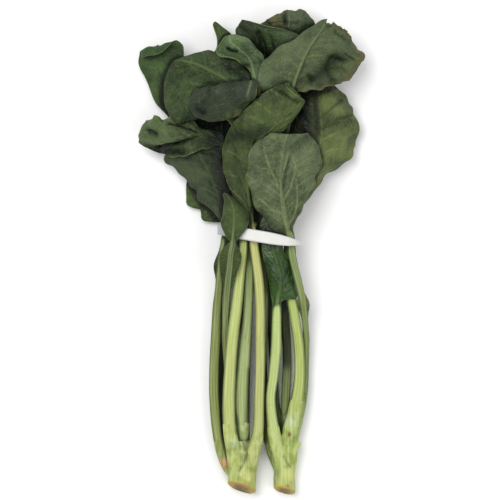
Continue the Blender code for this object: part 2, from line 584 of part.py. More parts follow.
def points_on(vertices, faces, rows=POINT_ROWS):
    """Spread points evenly over triangles."""
    i, j = np.meshgrid(np.arange(rows + 1), np.arange(rows + 1), indexing="ij")
    inside = (i + j) <= rows
    u = (i[inside] / rows)[None, :, None]
    v = (j[inside] / rows)[None, :, None]
    a, b, c = vertices[faces[:, 0]], vertices[faces[:, 1]], vertices[faces[:, 2]]
    points = a[:, None] + u * (b - a)[:, None] + v * (c - a)[:, None]
    return points.reshape(-1, 3)


def shifted(field, dx, dy):
    """Return the field moved by whole cells, with its edge held."""
    padded = np.pad(field, ((1, 1), (1, 1)), mode="edge")
    return padded[1 + dx : 1 + dx + field.shape[0], 1 + dy : 1 + dy + field.shape[1]]


def spread(need):
    """Turn the needed rise into a smooth field that is nowhere lower than it."""
    field = need.copy()
    for _ in range(LIFT_BLUR_CELLS + 1):
        field = np.max([shifted(field, dx, dy) for dx in (-1, 0, 1) for dy in (-1, 0, 1)], axis=0)
    drop = LIFT_SLOPE * CELL
    for _ in range(LIFT_REACH_CELLS):
        sides = [shifted(field, dx, dy) - drop for dx, dy in ((1, 0), (-1, 0), (0, 1), (0, -1))]
        corners = [shifted(field, dx, dy) - drop * math.sqrt(2) for dx in (-1, 1) for dy in (-1, 1)]
        field = np.max([field, *sides, *corners], axis=0)
    for _ in range(LIFT_BLUR_CELLS):
        field = np.mean([shifted(field, dx, dy) for dx in (-1, 0, 1) for dy in (-1, 0, 1)], axis=0)
    return field


def read_field(field, x, y):
    """Read the field between its cells' centres."""
    gx = np.clip((x + MAP_HALF_X) / CELL - 0.5, 0, field.shape[0] - 1.001)
    gy = np.clip((y + MAP_HALF_Y) / CELL - 0.5, 0, field.shape[1] - 1.001)
    ix, iy = gx.astype(int), gy.astype(int)
    fx, fy = gx - ix, gy - iy
    near = field[ix, iy] * (1 - fx) + field[ix + 1, iy] * fx
    far = field[ix, iy + 1] * (1 - fx) + field[ix + 1, iy + 1] * fx
    return near * (1 - fy) + far * fy


def settled_leaf(leaf, heights):
    """Raise a leaf clear of what lies below it, alike in all its layers, and return its mesh."""
    surface, over, beneath = middle_surface(leaf, leaf_places)
    start = SHEET_CENTRE_Y - leaf.lift_from_y
    for _ in range(LIFT_ROUNDS):
        vertices, faces = leaf_mesh(*skins(surface, over, beneath), slice(1, None))
        need = heights.needed(vertices, faces)
        row_y = (np.arange(heights.size[1]) + 0.5) * CELL - MAP_HALF_Y
        need = need * (row_y > start)[None, :]
        if need.max() <= 0.0:
            break
        field = spread(need)
        fade = np.clip((surface[..., 1] - start + LIFT_FADE) / LIFT_FADE, 0.0, 1.0)
        surface = surface.copy()
        surface[..., 2] += read_field(field, surface[..., 0], surface[..., 1]) * fade
    vertices, faces = leaf_mesh(*skins(surface, over, beneath), slice(1, None))
    heights.add(vertices, faces)
    return vertices, faces


def add_object(name, vertices, faces, colour, roughness, smooth=True):
    """Add a mesh, given in millimetres, as a named object with its own material."""
    mesh = bpy.data.meshes.new(name)
    mesh.from_pydata((np.asarray(vertices) * MM).tolist(), [], np.asarray(faces).tolist())
    mesh.update()
    if smooth:
        mesh.shade_smooth()
    made = bpy.data.objects.new(name, mesh)
    bpy.context.scene.collection.objects.link(made)
    made.data.materials.append(material(name + "_finish", colour, roughness))
    return made


def tube(path, radii, sides):
    """Return a closed round tube along a path, in the part's frame."""
    along = unit(np.gradient(path, axis=0))
    sideways = unit(np.cross(along, np.array([0.0, 0.0, 1.0])))
    upward = np.cross(sideways, along)
    angle = np.arange(sides) * 2 * math.pi / sides
    ring = np.cos(angle)[None, :, None] * sideways[:, None] + np.sin(angle)[None, :, None] * upward[:, None]
    vertices = (path[:, None] + ring * radii[:, None, None]).reshape(-1, 3)
    faces = []
    for i in range(len(path) - 1):
        for k in range(sides):
            a, b = i * sides + k, i * sides + (k + 1) % sides
            faces.append((a, a + sides, b + sides))
            faces.append((a, b + sides, b))
    last = (len(path) - 1) * sides
    for k in range(1, sides - 1):
        faces.append((0, k, k + 1))
        faces.append((last, last + k + 1, last + k))
    return vertices, faces


def root(leaf):
    """Return the root of the leaf's stem, which belongs to the stalk, in the same section as the stem."""
    return leaf_mesh(*skins(*middle_surface(leaf, root_places)), slice(None, -1))


def stalk(name):
    """Build a stalk: its butt and the roots of its stems, joined into one solid that rests on the table."""
    knots_rows = np.asarray(STALKS[name], float)
    centre = to_frame(knots_rows[:, :3])
    knots = np.concatenate([[0.0], np.cumsum(np.linalg.norm(np.diff(centre, axis=0), axis=1))])
    place = np.linspace(0.0, knots[-1], BUTT_RINGS)
    read = smooth_curve(knots, np.hstack([centre, knots_rows[:, 3:4]]), place)
    parts = [tube(read[:, :3], read[:, 3], STALK_SIDES)]
    vertices = parts[0][0]
    first = slice(0, STALK_SIDES)
    vertices[first, 1] += CUT_RAKE * (vertices[first, 2] - read[0, 2])
    vertices[first, 1] -= CUT_SLANT * (vertices[first, 0] - read[0, 0])
    parts += [root(leaf) for leaf in LEAVES if leaf.stalk == name]
    body = add_object(name, *parts[0], STALK_GREEN, 0.45)
    roots = bpy.data.collections.new(name + "_roots")
    bpy.context.scene.collection.children.link(roots)
    for number, (points, faces) in enumerate(parts[1:]):
        piece = add_object(f"{name}_root_{number}", points, faces, STALK_GREEN, 0.45)
        bpy.context.scene.collection.objects.unlink(piece)
        roots.objects.link(piece)
    join = body.modifiers.new("join_roots", "BOOLEAN")
    join.operand_type = "COLLECTION"
    join.collection = roots
    join.operation = "UNION"
    join.solver = "MANIFOLD"
    bpy.context.view_layer.update()
    evaluated = body.evaluated_get(bpy.context.evaluated_depsgraph_get())
    joined = bpy.data.meshes.new_from_object(evaluated)
    body.modifiers.clear()
    body.data = joined
    for piece in list(roots.objects):
        bpy.data.objects.remove(piece)
    bpy.data.collections.remove(roots)
    flatten_on_table(body)
    return body


def flatten_on_table(body):
    """Clean the joined mesh and cut it level with the table."""
    shape = bmesh.new()
    shape.from_mesh(body.data)
    bmesh.ops.remove_doubles(shape, verts=shape.verts, dist=WELD_DISTANCE * MM)
    geometry = shape.verts[:] + shape.edges[:] + shape.faces[:]
    cut = bmesh.ops.bisect_plane(
        shape, geom=geometry, dist=0.001 * MM, plane_co=(0, 0, 0), plane_no=(0, 0, 1), clear_inner=True)
    edges = [item for item in cut["geom_cut"] if isinstance(item, bmesh.types.BMEdge)]
    if edges:
        bmesh.ops.holes_fill(shape, edges=edges)
    bmesh.ops.triangulate(shape, faces=shape.faces[:])
    shape.to_mesh(body.data)
    shape.free()


def strap():
    """Build the strap: a superellipse loop of flat tape, wide in front, pinched at the right."""
    angle = np.arange(STRAP_STEPS) * 2 * math.pi / STRAP_STEPS
    power = 2.0 / STRAP_SQUARENESS
    cos, sin = np.cos(angle), np.sin(angle)
    offset = np.array([STRAP_CENTRE[0], 0.0, STRAP_CENTRE[1]])
    front = 0.5 + 0.5 * sin
    width = STRAP_WIDTH_BACK + (STRAP_WIDTH_FRONT - STRAP_WIDTH_BACK) * front
    width = width - STRAP_PINCH * np.clip(cos, 0.0, 1.0) ** STRAP_PINCH_POWER
    corners = []
    for grow, side in ((0.0, -0.5), (0.0, 0.5), (STRAP_THICKNESS, 0.5), (STRAP_THICKNESS, -0.5)):
        x = np.sign(cos) * np.abs(cos) ** power * (STRAP_HALF_X + grow)
        z = np.sign(sin) * np.abs(sin) ** power * (STRAP_HALF_Z + grow)
        y = STRAP_Y_MIDDLE + STRAP_SLANT * x + side * width
        corners.append(to_frame(np.stack([x + offset[0], y, z + offset[2]], 1)))
    vertices = np.concatenate(corners)
    faces = []
    for k in range(STRAP_STEPS):
        n = (k + 1) % STRAP_STEPS
        for c in range(4):
            d = (c + 1) % 4
            a, b = c * STRAP_STEPS + k, c * STRAP_STEPS + n
            e, f = d * STRAP_STEPS + n, d * STRAP_STEPS + k
            faces.append((a, e, b))
            faces.append((a, f, e))
    return vertices, np.array(faces)


def main():
    """Clear the scene and build the bunch from the table up."""
    for thing in list(bpy.data.objects):
        bpy.data.objects.remove(thing)
    heights = HeightMap()
    for leaf in LEAVES[:-1]:
        vertices, faces = settled_leaf(leaf, heights)
        add_object(leaf.name, vertices, faces, leaf.colour, 0.5)
    vertices, faces = strap()
    add_object("tie_band", vertices, faces, STRAP_WHITE, 0.4, smooth=False)
    heights.add(vertices, faces)
    last = LEAVES[-1]
    vertices, faces = settled_leaf(last, heights)
    add_object(last.name, vertices, faces, last.colour, 0.5)
    for name in STALKS:
        stalk(name)


main()
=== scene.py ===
"""Dress a tied bunch of collard greens: leaves on long stems, two cut stalks and a flat tie.

The places of the leaves are given in millimetres on a pattern sheet, as x to the right, y down and z up
from the table. The sheet's millimetres are turned into the frame's metres only where a mesh is made.
"""

from __future__ import annotations

import logging
import math
from dataclasses import dataclass, field
from enum import Enum
from typing import Any

import bpy
import numpy as np
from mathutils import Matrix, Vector


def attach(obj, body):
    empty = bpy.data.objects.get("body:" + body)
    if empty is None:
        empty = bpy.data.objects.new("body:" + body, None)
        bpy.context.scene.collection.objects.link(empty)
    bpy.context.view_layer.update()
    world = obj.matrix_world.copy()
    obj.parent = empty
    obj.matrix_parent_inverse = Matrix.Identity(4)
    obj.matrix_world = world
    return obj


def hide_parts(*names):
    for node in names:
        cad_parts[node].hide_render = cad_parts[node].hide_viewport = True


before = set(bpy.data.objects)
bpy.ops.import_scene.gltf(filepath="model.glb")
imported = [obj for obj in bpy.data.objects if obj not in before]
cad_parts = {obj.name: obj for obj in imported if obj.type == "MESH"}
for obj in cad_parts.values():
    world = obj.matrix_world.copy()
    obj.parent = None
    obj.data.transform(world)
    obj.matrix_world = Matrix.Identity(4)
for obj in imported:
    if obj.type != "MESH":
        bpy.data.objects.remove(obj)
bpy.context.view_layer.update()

logging.basicConfig(level=logging.INFO, format="%(message)s")
LOG = logging.getLogger("collard_greens")

MM = 0.001
SHEET_CENTRE_X = 251.6
SHEET_CENTRE_Y = 252.3
LATTICE_SIZE = 64
SPOT_CORE = 0.15
JOINT_STEPS = 4000
SKIN_IOR = 1.42
FIVE_ACROSS = np.array([-1.0, -0.5, 0.0, 0.5, 1.0])[None, :, None]
UPWARD = np.array([0.0, 0.0, 1.0])
CELL_BLOCK = [(dx, dy) for dx in (-1, 0, 1) for dy in (-1, 0, 1)]

Array = np.ndarray
Tree = bpy.types.NodeTree
StemKnot = tuple[float, ...]
Line = tuple[Any, ...]
BladeRow = tuple[Any, ...]
Colour = tuple[float, float, float, float]


class Face(Enum):
    """Which side of a leaf is turned up, towards the viewer."""

    UPPER = "upper"
    UNDER = "under"


# How far the rib stands out of a blade's upper and lower skin, as shares of its radius.
RIB_SHARES = {Face.UPPER: (0.3, 0.9), Face.UNDER: (0.75, 0.45)}
# How much of the veins' ridges stands out of each skin.
RIDGE_SHARES = {Face.UPPER: (0.1, 1.0), Face.UNDER: (1.0, 0.1)}


def linear(code: str) -> Colour:
    """Turn an sRGB hex colour such as "#5d6a46" into a linear one with alpha."""
    parts = [int(code[i : i + 2], 16) / 255 for i in (1, 3, 5)]
    red, green, blue = (p / 12.92 if p <= 0.04045 else ((p + 0.055) / 1.055) ** 2.4 for p in parts)
    return red, green, blue, 1.0


def unit(vectors: Array) -> Array:
    """Scale vectors to length one along the last axis."""
    return vectors / np.maximum(np.linalg.norm(vectors, axis=-1, keepdims=True), 1e-9)


def ease(value: Array | float, low: float, high: float) -> Array:
    """Return a smooth step from 0 at low to 1 at high."""
    t = np.clip((np.asarray(value, float) - low) / (high - low), 0.0, 1.0)
    return t * t * (3.0 - 2.0 * t)


def to_frame(points: Any) -> Array:
    """Turn sheet points (x right, y down, z up) into the frame's directions, still in millimetres."""
    points = np.asarray(points, float)
    placed = points.copy()
    placed[..., 0] = points[..., 0] - SHEET_CENTRE_X
    placed[..., 1] = SHEET_CENTRE_Y - points[..., 1]
    return placed


def lengths_along(points: Array) -> Array:
    """Return how far along a line each of its points is, starting at 0."""
    return np.concatenate([[0.0], np.cumsum(np.linalg.norm(np.diff(points, axis=0), axis=1))])


def hermite(t: Array, ends: tuple[Array, Array], slopes: tuple[Array, Array], width: Array | float) -> Array:
    """Read a cubic Hermite curve at the share t of a span, from its ends and the slopes there."""
    return (
        (2 * t**3 - 3 * t**2 + 1) * ends[0]
        + (t**3 - 2 * t**2 + t) * width * slopes[0]
        + (3 * t**2 - 2 * t**3) * ends[1]
        + (t**3 - t**2) * width * slopes[1]
    )


def smooth_curve(knots: Array, values: Array, at: Array) -> Array:
    """Read a smooth curve through values at knots: a cubic Hermite whose slopes are central differences.

    Args:
        knots: Rising places of the values.
        values: One row of numbers for each knot.
        at: Places to read.

    Returns:
        One row of numbers for each place in at.
    """
    slopes = np.empty_like(values)
    slopes[1:-1] = (values[2:] - values[:-2]) / (knots[2:] - knots[:-2])[:, None]
    slopes[0] = (values[1] - values[0]) / (knots[1] - knots[0])
    slopes[-1] = (values[-1] - values[-2]) / (knots[-1] - knots[-2])
    span = np.clip(np.searchsorted(knots, at, side="right") - 1, 0, len(knots) - 2)
    width = (knots[span + 1] - knots[span])[:, None]
    t = (at - knots[span])[:, None] / width
    return hermite(t, (values[span], values[span + 1]), (slopes[span], slopes[span + 1]), width)


def across_curve(points: Array, v: Array) -> Array:
    """Read each ring's smooth curve through its five points: a cubic Hermite with central slopes.

    Args:
        points: Five points for each ring.
        v: Places on each ring, from -1 to 1.
    """
    slopes = np.empty_like(points)
    slopes[:, 1:-1] = points[:, 2:] - points[:, :-2]
    slopes[:, 0] = -3 * points[:, 0] + 4 * points[:, 1] - points[:, 2]
    slopes[:, -1] = 3 * points[:, -1] - 4 * points[:, -2] + points[:, -3]
    place = (v + 1.0) * 2.0
    span = np.clip(np.floor(place).astype(int), 0, 3)
    t = (place - span)[..., None]
    ring = np.arange(len(points))[:, None]
    ends = points[ring, span], points[ring, span + 1]
    return hermite(t, ends, (slopes[ring, span], slopes[ring, span + 1]), 0.5)


def line_distance(points: Array, line: Any) -> Array:
    """Return how far each point is from a line drawn on the sheet, seen from above.

    Args:
        points: Points in the frame's directions, in millimetres.
        line: Sheet points (x, y) of the line's corners.
    """
    corners = to_frame([(*corner, 0.0) for corner in line])[:, :2]
    away = np.full(points.shape[:-1], np.inf)
    for start, end in zip(corners[:-1], corners[1:]):
        step = end - start
        share = np.clip(((points[..., :2] - start) @ step) / (step @ step), 0.0, 1.0)
        away = np.minimum(away, np.linalg.norm(points[..., :2] - start - share[..., None] * step, axis=-1))
    return away


def spot_field(points: Array, spots: Any) -> Array:
    """Return how strongly each point lies in a round spot (x, y, radius, strength) drawn on the sheet."""
    found = np.zeros(points.shape[:-1])
    for x, y, size, strength in spots:
        away = np.linalg.norm(points[..., :2] - to_frame([x, y, 0.0])[:2], axis=-1)
        found = np.maximum(found, strength * (1.0 - ease(away, SPOT_CORE * size, size)))
    return found


def patchy(x: Array, y: Array, size: float, seed: int) -> Array:
    """Return smooth patches between -1 and 1: seeded random values on a square lattice, eased between.

    Args:
        x: First coordinate, in millimetres.
        y: Second coordinate, in millimetres.
        size: Lattice spacing, in millimetres.
        seed: Seed of the lattice's values.
    """
    count = LATTICE_SIZE
    lattice = np.random.default_rng(seed).uniform(-1.0, 1.0, (count, count))
    gx, gy = np.asarray(x) / size, np.asarray(y) / size
    ix, iy = np.floor(gx).astype(int), np.floor(gy).astype(int)
    fx, fy = ease(gx - ix, 0.0, 1.0), ease(gy - iy, 0.0, 1.0)
    ix, iy, jx, jy = ix % count, iy % count, (ix + 1) % count, (iy + 1) % count
    low = lattice[ix, iy] * (1 - fx) + lattice[jx, iy] * fx
    high = lattice[ix, jy] * (1 - fx) + lattice[jx, jy] * fx
    return low * (1 - fy) + high * fy


def feed(tree: Tree, node: bpy.types.Node, feeds: dict[str | int, Any]) -> None:
    """Set or link a node's inputs, each by name or number, with a value or with another node's socket."""
    for name, value in feeds.items():
        if isinstance(value, bpy.types.NodeSocket):
            tree.links.new(value, node.inputs[name])
        else:
            node.inputs[name].default_value = value


def add_node(tree: Tree, kind: str, settings: dict[str, Any] | None = None,
             feeds: dict[str | int, Any] | None = None) -> bpy.types.Node:
    """Add a shader node with its settings, and set or link its inputs.

    Args:
        tree: The material's node tree.
        kind: The node's type name.
        settings: Property names and values of the node.
        feeds: Input names or numbers, each with a value or with the output socket that feeds it.
    """
    node = tree.nodes.new(kind)
    for name, value in (settings or {}).items():
        setattr(node, name, value)
    feed(tree, node, feeds or {})
    return node


def new_material(name: str) -> tuple[bpy.types.Material, Tree, bpy.types.Node]:
    """Make a named material and return it with its node tree and its principled shader."""
    made = bpy.data.materials.new(name)
    made.use_nodes = True
    return made, made.node_tree, made.node_tree.nodes["Principled BSDF"]


def blend_colours(tree: Tree, share: Any, first: Any, second: Any, mode: str = "MIX") -> Any:
    """Return the colour that goes from first to second with share."""
    settings = {"data_type": "RGBA", "blend_type": mode}
    return add_node(tree, "ShaderNodeMix", settings, {0: share, 6: first, 7: second}).outputs[2]


def multiply(tree: Tree, colour: Any, code: str) -> Any:
    """Return a colour multiplied by an sRGB hex colour."""
    return blend_colours(tree, 1.0, colour, linear(code), "MULTIPLY")


def stretch(tree: Tree, value: Any, low: float, high: float, start: float = 0.0, end: float = 1.0) -> Any:
    """Return value eased from low..high to start..end and held outside."""
    feeds = {"Value": value, "From Min": low, "From Max": high, "To Min": start, "To Max": end}
    return add_node(tree, "ShaderNodeMapRange", {"interpolation_type": "SMOOTHSTEP"}, feeds).outputs[0]


def combine(tree: Tree, operation: str, *values: Any) -> Any:
    """Return the result of a calculation with the values."""
    return add_node(tree, "ShaderNodeMath", {"operation": operation}, dict(enumerate(values))).outputs[0]


def add_noise(tree: Tree, place: Any, scale: float, detail: float, roughness: float = 0.5) -> Any:
    """Return a cloudy pattern between 0 and 1, whose patches are about 1 / scale metres wide."""
    feeds = {"Vector": place, "Scale": scale, "Detail": detail, "Roughness": roughness}
    return add_node(tree, "ShaderNodeTexNoise", None, feeds).outputs[0]


def read_mark(tree: Tree, name: str, output: str = "Fac") -> Any:
    """Return what the piece's vertices carry under a name."""
    return add_node(tree, "ShaderNodeAttribute", {"attribute_name": name}).outputs[output]


def add_fibres(tree: Tree, skin: Any, place: Any, scale: tuple[float, float, float]) -> tuple[Any, Any]:
    """Streak a stem's colour along its length and return the colour and the fibres' height.

    Args:
        tree: The material's node tree.
        skin: The plain colour.
        place: The texture coordinates.
        scale: The streaks' scale in each direction.
    """
    long_way = add_node(tree, "ShaderNodeMapping", None, {"Vector": place, "Scale": scale})
    fibre = add_noise(tree, long_way.outputs[0], 1.0, 3.0, 0.55)
    dark = multiply(tree, skin, "#cdd5b2")
    pale = blend_colours(tree, 0.3, skin, linear("#e6ecbc"))
    streaked = blend_colours(tree, stretch(tree, fibre, 0.36, 0.64), dark, pale)
    return blend_colours(tree, 0.5, skin, streaked), fibre


def add_painted_depth_shade(tree: Tree, colour: Any) -> Any:
    """Paint shade into a colour where the piece lies deep among the others, by its mark of how far it is
    sunk.
    """
    sunk = read_mark(tree, "sunk")
    dark = multiply(tree, colour, "#8f9a88")
    black = multiply(tree, dark, "#a8b0a0")
    colour = blend_colours(tree, stretch(tree, sunk, 0.0, 0.45), colour, dark)
    return blend_colours(tree, stretch(tree, sunk, 0.35, 1.0), colour, black)


def dress_shader(tree: Tree, shader: bpy.types.Node, inputs: dict[str, Any], height: Any, strength: float,
                 distance: float) -> None:
    """Feed the shader, with painted shade in its colour where the piece is sunk, and its surface raised by a
    height.

    Args:
        tree: The material's node tree.
        shader: The principled shader.
        inputs: Its inputs, among them the colour.
        height: The fine relief between 0 and 1.
        strength: How much of the relief shows.
        distance: How high the relief is, in metres.
    """
    relief = {"Strength": strength, "Distance": distance, "Height": height}
    bump = add_node(tree, "ShaderNodeBump", None, relief)
    colour = add_painted_depth_shade(tree, inputs["Base Color"])
    feed(tree, shader, {**inputs, "Base Color": colour, "Normal": bump.outputs[0]})


def add_piece(name: str, shape: tuple[Array, Array], finish: bpy.types.Material, node: str,
              uv: Array | None = None, marks: dict[str, Array] | None = None) -> bpy.types.Object:
    """Put a mesh, given in millimetres, into the scene in place of a CAD node.

    Args:
        name: The piece's name.
        shape: Points in millimetres, and rows of three or four vertex numbers, turned outwards.
        finish: The material.
        node: The CAD node that the piece stands for.
        uv: One pair of numbers for each vertex.
        marks: Named numbers for each vertex, which the material reads.
    """
    mesh = bpy.data.meshes.new(name)
    mesh.from_pydata((shape[0] * MM).tolist(), [], shape[1].tolist())
    mesh.update()
    mesh.shade_smooth()
    if uv is not None:
        corner = np.empty(len(mesh.loops), np.int32)
        mesh.loops.foreach_get("vertex_index", corner)
        layer = mesh.uv_layers.new(name="along_leaf")
        layer.data.foreach_set("uv", uv[corner].astype(np.float32).ravel())
    for mark, values in (marks or {}).items():
        add_mark(mesh, mark, values)
    mesh.materials.append(finish)
    piece = bpy.data.objects.new(name, mesh)
    bpy.context.scene.collection.objects.link(piece)
    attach(piece, "root")
    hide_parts(node)
    return piece


def add_mark(mesh: bpy.types.Mesh, name: str, values: Array) -> None:
    """Write a named number on each vertex of a mesh."""
    mesh.attributes.new(name, "FLOAT", "POINT").data.foreach_set("value", values.astype(np.float32))


@dataclass(frozen=True)
class LeafFinish:
    """Fresh collard leaf, grown with a waxy bloom.

    The eye sees a dull blue-green skin with a soft sheen, paler veins, an olive or browned margin, painted
    shade along its folds, and a juicy stem that pales towards its root. The scales are those of patterns of
    30, 12 and 7 mm in the blade, of 5 mm cells in the net of small veins, and of fibres 1.5 mm apart in the
    stem.
    """

    blade: str
    deep: str
    vein: str
    back: str
    stem_top: str
    stem_low: str
    margin: str = "#6c7a45"
    # Painted shade along the drawn folds, multiplied into the deep colour.
    painted_fold_shade: str = "#6b7a62"
    stem_stain: str = "#8f8a4e"
    roughness: float = 0.5
    gloss: float = 0.3
    margin_share: float = 0.6
    margin_reach: float = 1.6
    net: float = 0.18
    grain: float = 0.9
    grain_height: float = 0.0008
    cloud_scale: float = 33.0
    blotch_scale: float = 85.0
    mottle_scale: float = 140.0
    net_scale: float = 20.0
    fibre_scale: tuple[float, float, float] = (70.0, 1.6, 1.0)

    def blade_skin(self, tree: Tree, place: bpy.types.Node, marks: dict[str, Any],
                   mottle: Any) -> tuple[Any, Any]:
        """Return the blade's colour and the lines of its net of small veins."""
        cloud = add_noise(tree, place.outputs["Object"], self.cloud_scale, 2.0)
        skin = blend_colours(tree, stretch(tree, cloud, 0.35, 0.68), linear(self.deep), linear(self.blade))
        skin = blend_colours(tree, stretch(tree, mottle, 0.4, 0.75, 0.0, 0.22), skin, linear(self.vein))
        # The blotches are darker where the bloom is thin.
        blotch = add_noise(tree, place.outputs["Object"], self.blotch_scale, 3.0, 0.7)
        skin = blend_colours(tree, stretch(tree, blotch, 0.5, 0.72, 0.0, 0.35), skin, linear(self.deep))
        skin = blend_colours(tree, marks["back"], skin, linear(self.back))
        # The net's lines are drawn 0.5 mm wide so that they show.
        net = add_node(tree, "ShaderNodeTexVoronoi", {"feature": "DISTANCE_TO_EDGE"}, {
            "Vector": place.outputs["UV"], "Scale": self.net_scale, "Randomness": 1.0})
        line = stretch(tree, net.outputs["Distance"], 0.02, 0.14, 1.0, 0.0)
        skin = blend_colours(tree, combine(tree, "MULTIPLY", line, self.net), skin, linear(self.vein))
        skin = blend_colours(tree, marks["vein"], skin, linear(self.vein))
        # The margin's colour reaches in unevenly, and so do the spots.
        rim = combine(tree, "ADD", marks["edge"], combine(tree, "MULTIPLY_ADD", mottle, 0.9, -0.45))
        rimmed = stretch(tree, rim, 0.55, 1.0, 0.0, self.margin_share)
        skin = blend_colours(tree, rimmed, skin, linear(self.margin))
        speckled = combine(tree, "MULTIPLY", marks["spot"], stretch(tree, mottle, 0.35, 0.6, 0.35, 1.0))
        return blend_colours(tree, speckled, skin, linear(self.margin)), line

    def material(self, name: str) -> bpy.types.Material:
        """Build the leaf's material from the piece's own marks and UV map, which are in real sizes."""
        made, tree, shader = new_material(name)
        place = add_node(tree, "ShaderNodeTexCoord")
        names = ("vein", "edge", "stem", "back", "climb", "fold", "spot")
        marks = {name: read_mark(tree, name) for name in names}
        mottle = add_noise(tree, place.outputs["Object"], self.mottle_scale, 3.0, 0.6)
        skin, line = self.blade_skin(tree, place, marks, mottle)
        stem = blend_colours(tree, marks["climb"], linear(self.stem_low), linear(self.stem_top))
        stem, fibre = add_fibres(tree, stem, place.outputs["UV"], self.fibre_scale)
        stem = blend_colours(tree, marks["spot"], stem, linear(self.stem_stain))
        colour = blend_colours(tree, marks["stem"], skin, stem)
        # Painted shade darkens the colour along the drawn folds, the stem's colour too.
        colour = blend_colours(tree, marks["fold"], colour, multiply(tree, linear(self.deep), self.painted_fold_shade))
        grain = combine(tree, "MULTIPLY_ADD", line, -0.6, mottle)
        heights = {0: marks["stem"], 2: grain, 3: fibre}
        height = add_node(tree, "ShaderNodeMix", {"data_type": "FLOAT"}, heights)
        dress_shader(tree, shader, {
            "Base Color": colour,
            "Roughness": stretch(tree, mottle, 0.3, 0.7, self.roughness - 0.08, self.roughness + 0.1),
            "IOR": SKIN_IOR,
            "Specular IOR Level": self.gloss,
        }, height.outputs[0], self.grain, self.grain_height)
        return made


@dataclass(frozen=True)
class LeafPattern:
    """The pattern of one leaf.

    stem holds (x, y, z, radius) from the root in the stalk to the blade, and the reach of the thin wings
    where it has them. blade holds, from the base to the tip, the left margin, the midrib and the right
    margin as (x, y, z), and the midrib's radius. A folded or rolled row also has a point halfway between
    the midrib and each margin. Pairs of numbers are for the left and the right half. veins and folds are
    lines on the sheet: a vein has its width, and a fold its height (below zero for a crease), its width
    and how strong its painted shade is. A fold of height 0 is only a band of painted shade.
    """

    name: str
    stalk: str
    cut_y: float
    stem: list[StemKnot]
    blade: list[BladeRow]
    finish: LeafFinish
    ruffle: float = 2.0
    waves: float = 4.0
    phase: float = 0.0
    lift_from_y: float = 222.0
    ruffle_right: float | None = None
    face: Face = Face.UPPER
    midrib: float = 1.0
    side_vein: float = 0.35
    pucker: float = 1.1
    vein_gap: float = 17.0
    vein_span: float = 0.86
    vein_advance: float = 0.24
    frill: tuple[float, float] = (1.0, 1.0)
    crumple: tuple[float, float] = (1.0, 1.0)
    ragged: tuple[float, float] = (0.4, 0.4)
    browned: tuple[float, float] = (1.0, 1.0)
    veins: tuple[Line, ...] = ()
    folds: tuple[Line, ...] = ()
    spots: tuple[tuple[float, float, float, float], ...] = ()
    seed: int = 1

    @staticmethod
    def five_points(row: BladeRow) -> Array:
        """Return a blade row's five points across, two of them on the parabola through a row of three."""
        points = np.asarray(row[:-1], float)
        if len(points) == 5:
            return to_frame(points)
        left, middle, right = points
        arch = 0.5 * (left + right) - middle
        half_left = middle - 0.25 * (right - left) + 0.25 * arch
        half_right = middle + 0.25 * (right - left) + 0.25 * arch
        return to_frame([left, half_left, middle, half_right, right])

    def stations(self) -> tuple[Array, Array]:
        """Return the knots along the leaf, and for each its five points across and its rib's radius."""
        stem = np.array([(*knot, 0.0)[:5] for knot in self.stem], float)
        centre = to_frame(stem[:, :3])
        blade = np.array([self.five_points(row) for row in self.blade])
        middle = np.vstack([centre, blade[:, 2]])
        level = unit(np.cross(np.gradient(middle, axis=0), UPWARD))[: len(stem)]
        sideways = level * stem[:, 3:].sum(axis=1, keepdims=True)
        across = centre[:, None] + FIVE_ACROSS * sideways[:, None]
        points = np.concatenate([across, blade]).reshape(-1, 15)
        radii = np.concatenate([stem[:, 3], [row[-1] for row in self.blade]])
        return lengths_along(middle), np.hstack([points, radii[:, None]])

    def blade_start(self, knots: Array) -> float:
        """Return how far along the leaf its blade begins: halfway from the stem's last knot to the next."""
        last = len(self.stem) - 1
        return 0.5 * (knots[last] + knots[last + 1])

    def joint(self, knots: Array, rows: Array) -> float:
        """Return how far along the leaf its joint with the stalk is."""
        fine = np.linspace(knots[0], knots[-1], JOINT_STEPS)
        middle_y = smooth_curve(knots, rows, fine)[:, 7]
        return float(fine[np.argmax(middle_y >= SHEET_CENTRE_Y - self.cut_y)])

    def side_veins(self) -> Array:
        """Return the evenly set side veins as rows of start, end, side and width.

        Start and end are shares of the blade's length where the vein leaves the midrib and where it ends,
        side is -1 or 1, and width is in millimetres.
        """
        knots, _ = self.stations()
        count = max(3, int((knots[-1] - self.blade_start(knots)) / self.vein_gap))
        rows = []
        for side in (-1.0, 1.0):
            start = (np.arange(count) + 0.35 + 0.15 * side) / count * self.vein_span
            end, width = start + self.vein_advance, 0.8 - 0.3 * start
            rows.append(np.stack([start, end, np.full(count, side), width], 1))
        return np.concatenate(rows)


@dataclass
class Grid:
    """A leaf's middle surface and what is known at each of its points.

    reach is the distance from the midrib, below zero on the left, and half the half width on that side.
    Along the leaf, radius is the rib's, growth the share of the blade's length, place how far it is in
    millimetres, and stemness 1 in the stem and 0 in the blade.
    """

    surface: Array
    reach: Array
    half: Array
    radius: Array
    growth: Array
    place: Array
    stemness: Array


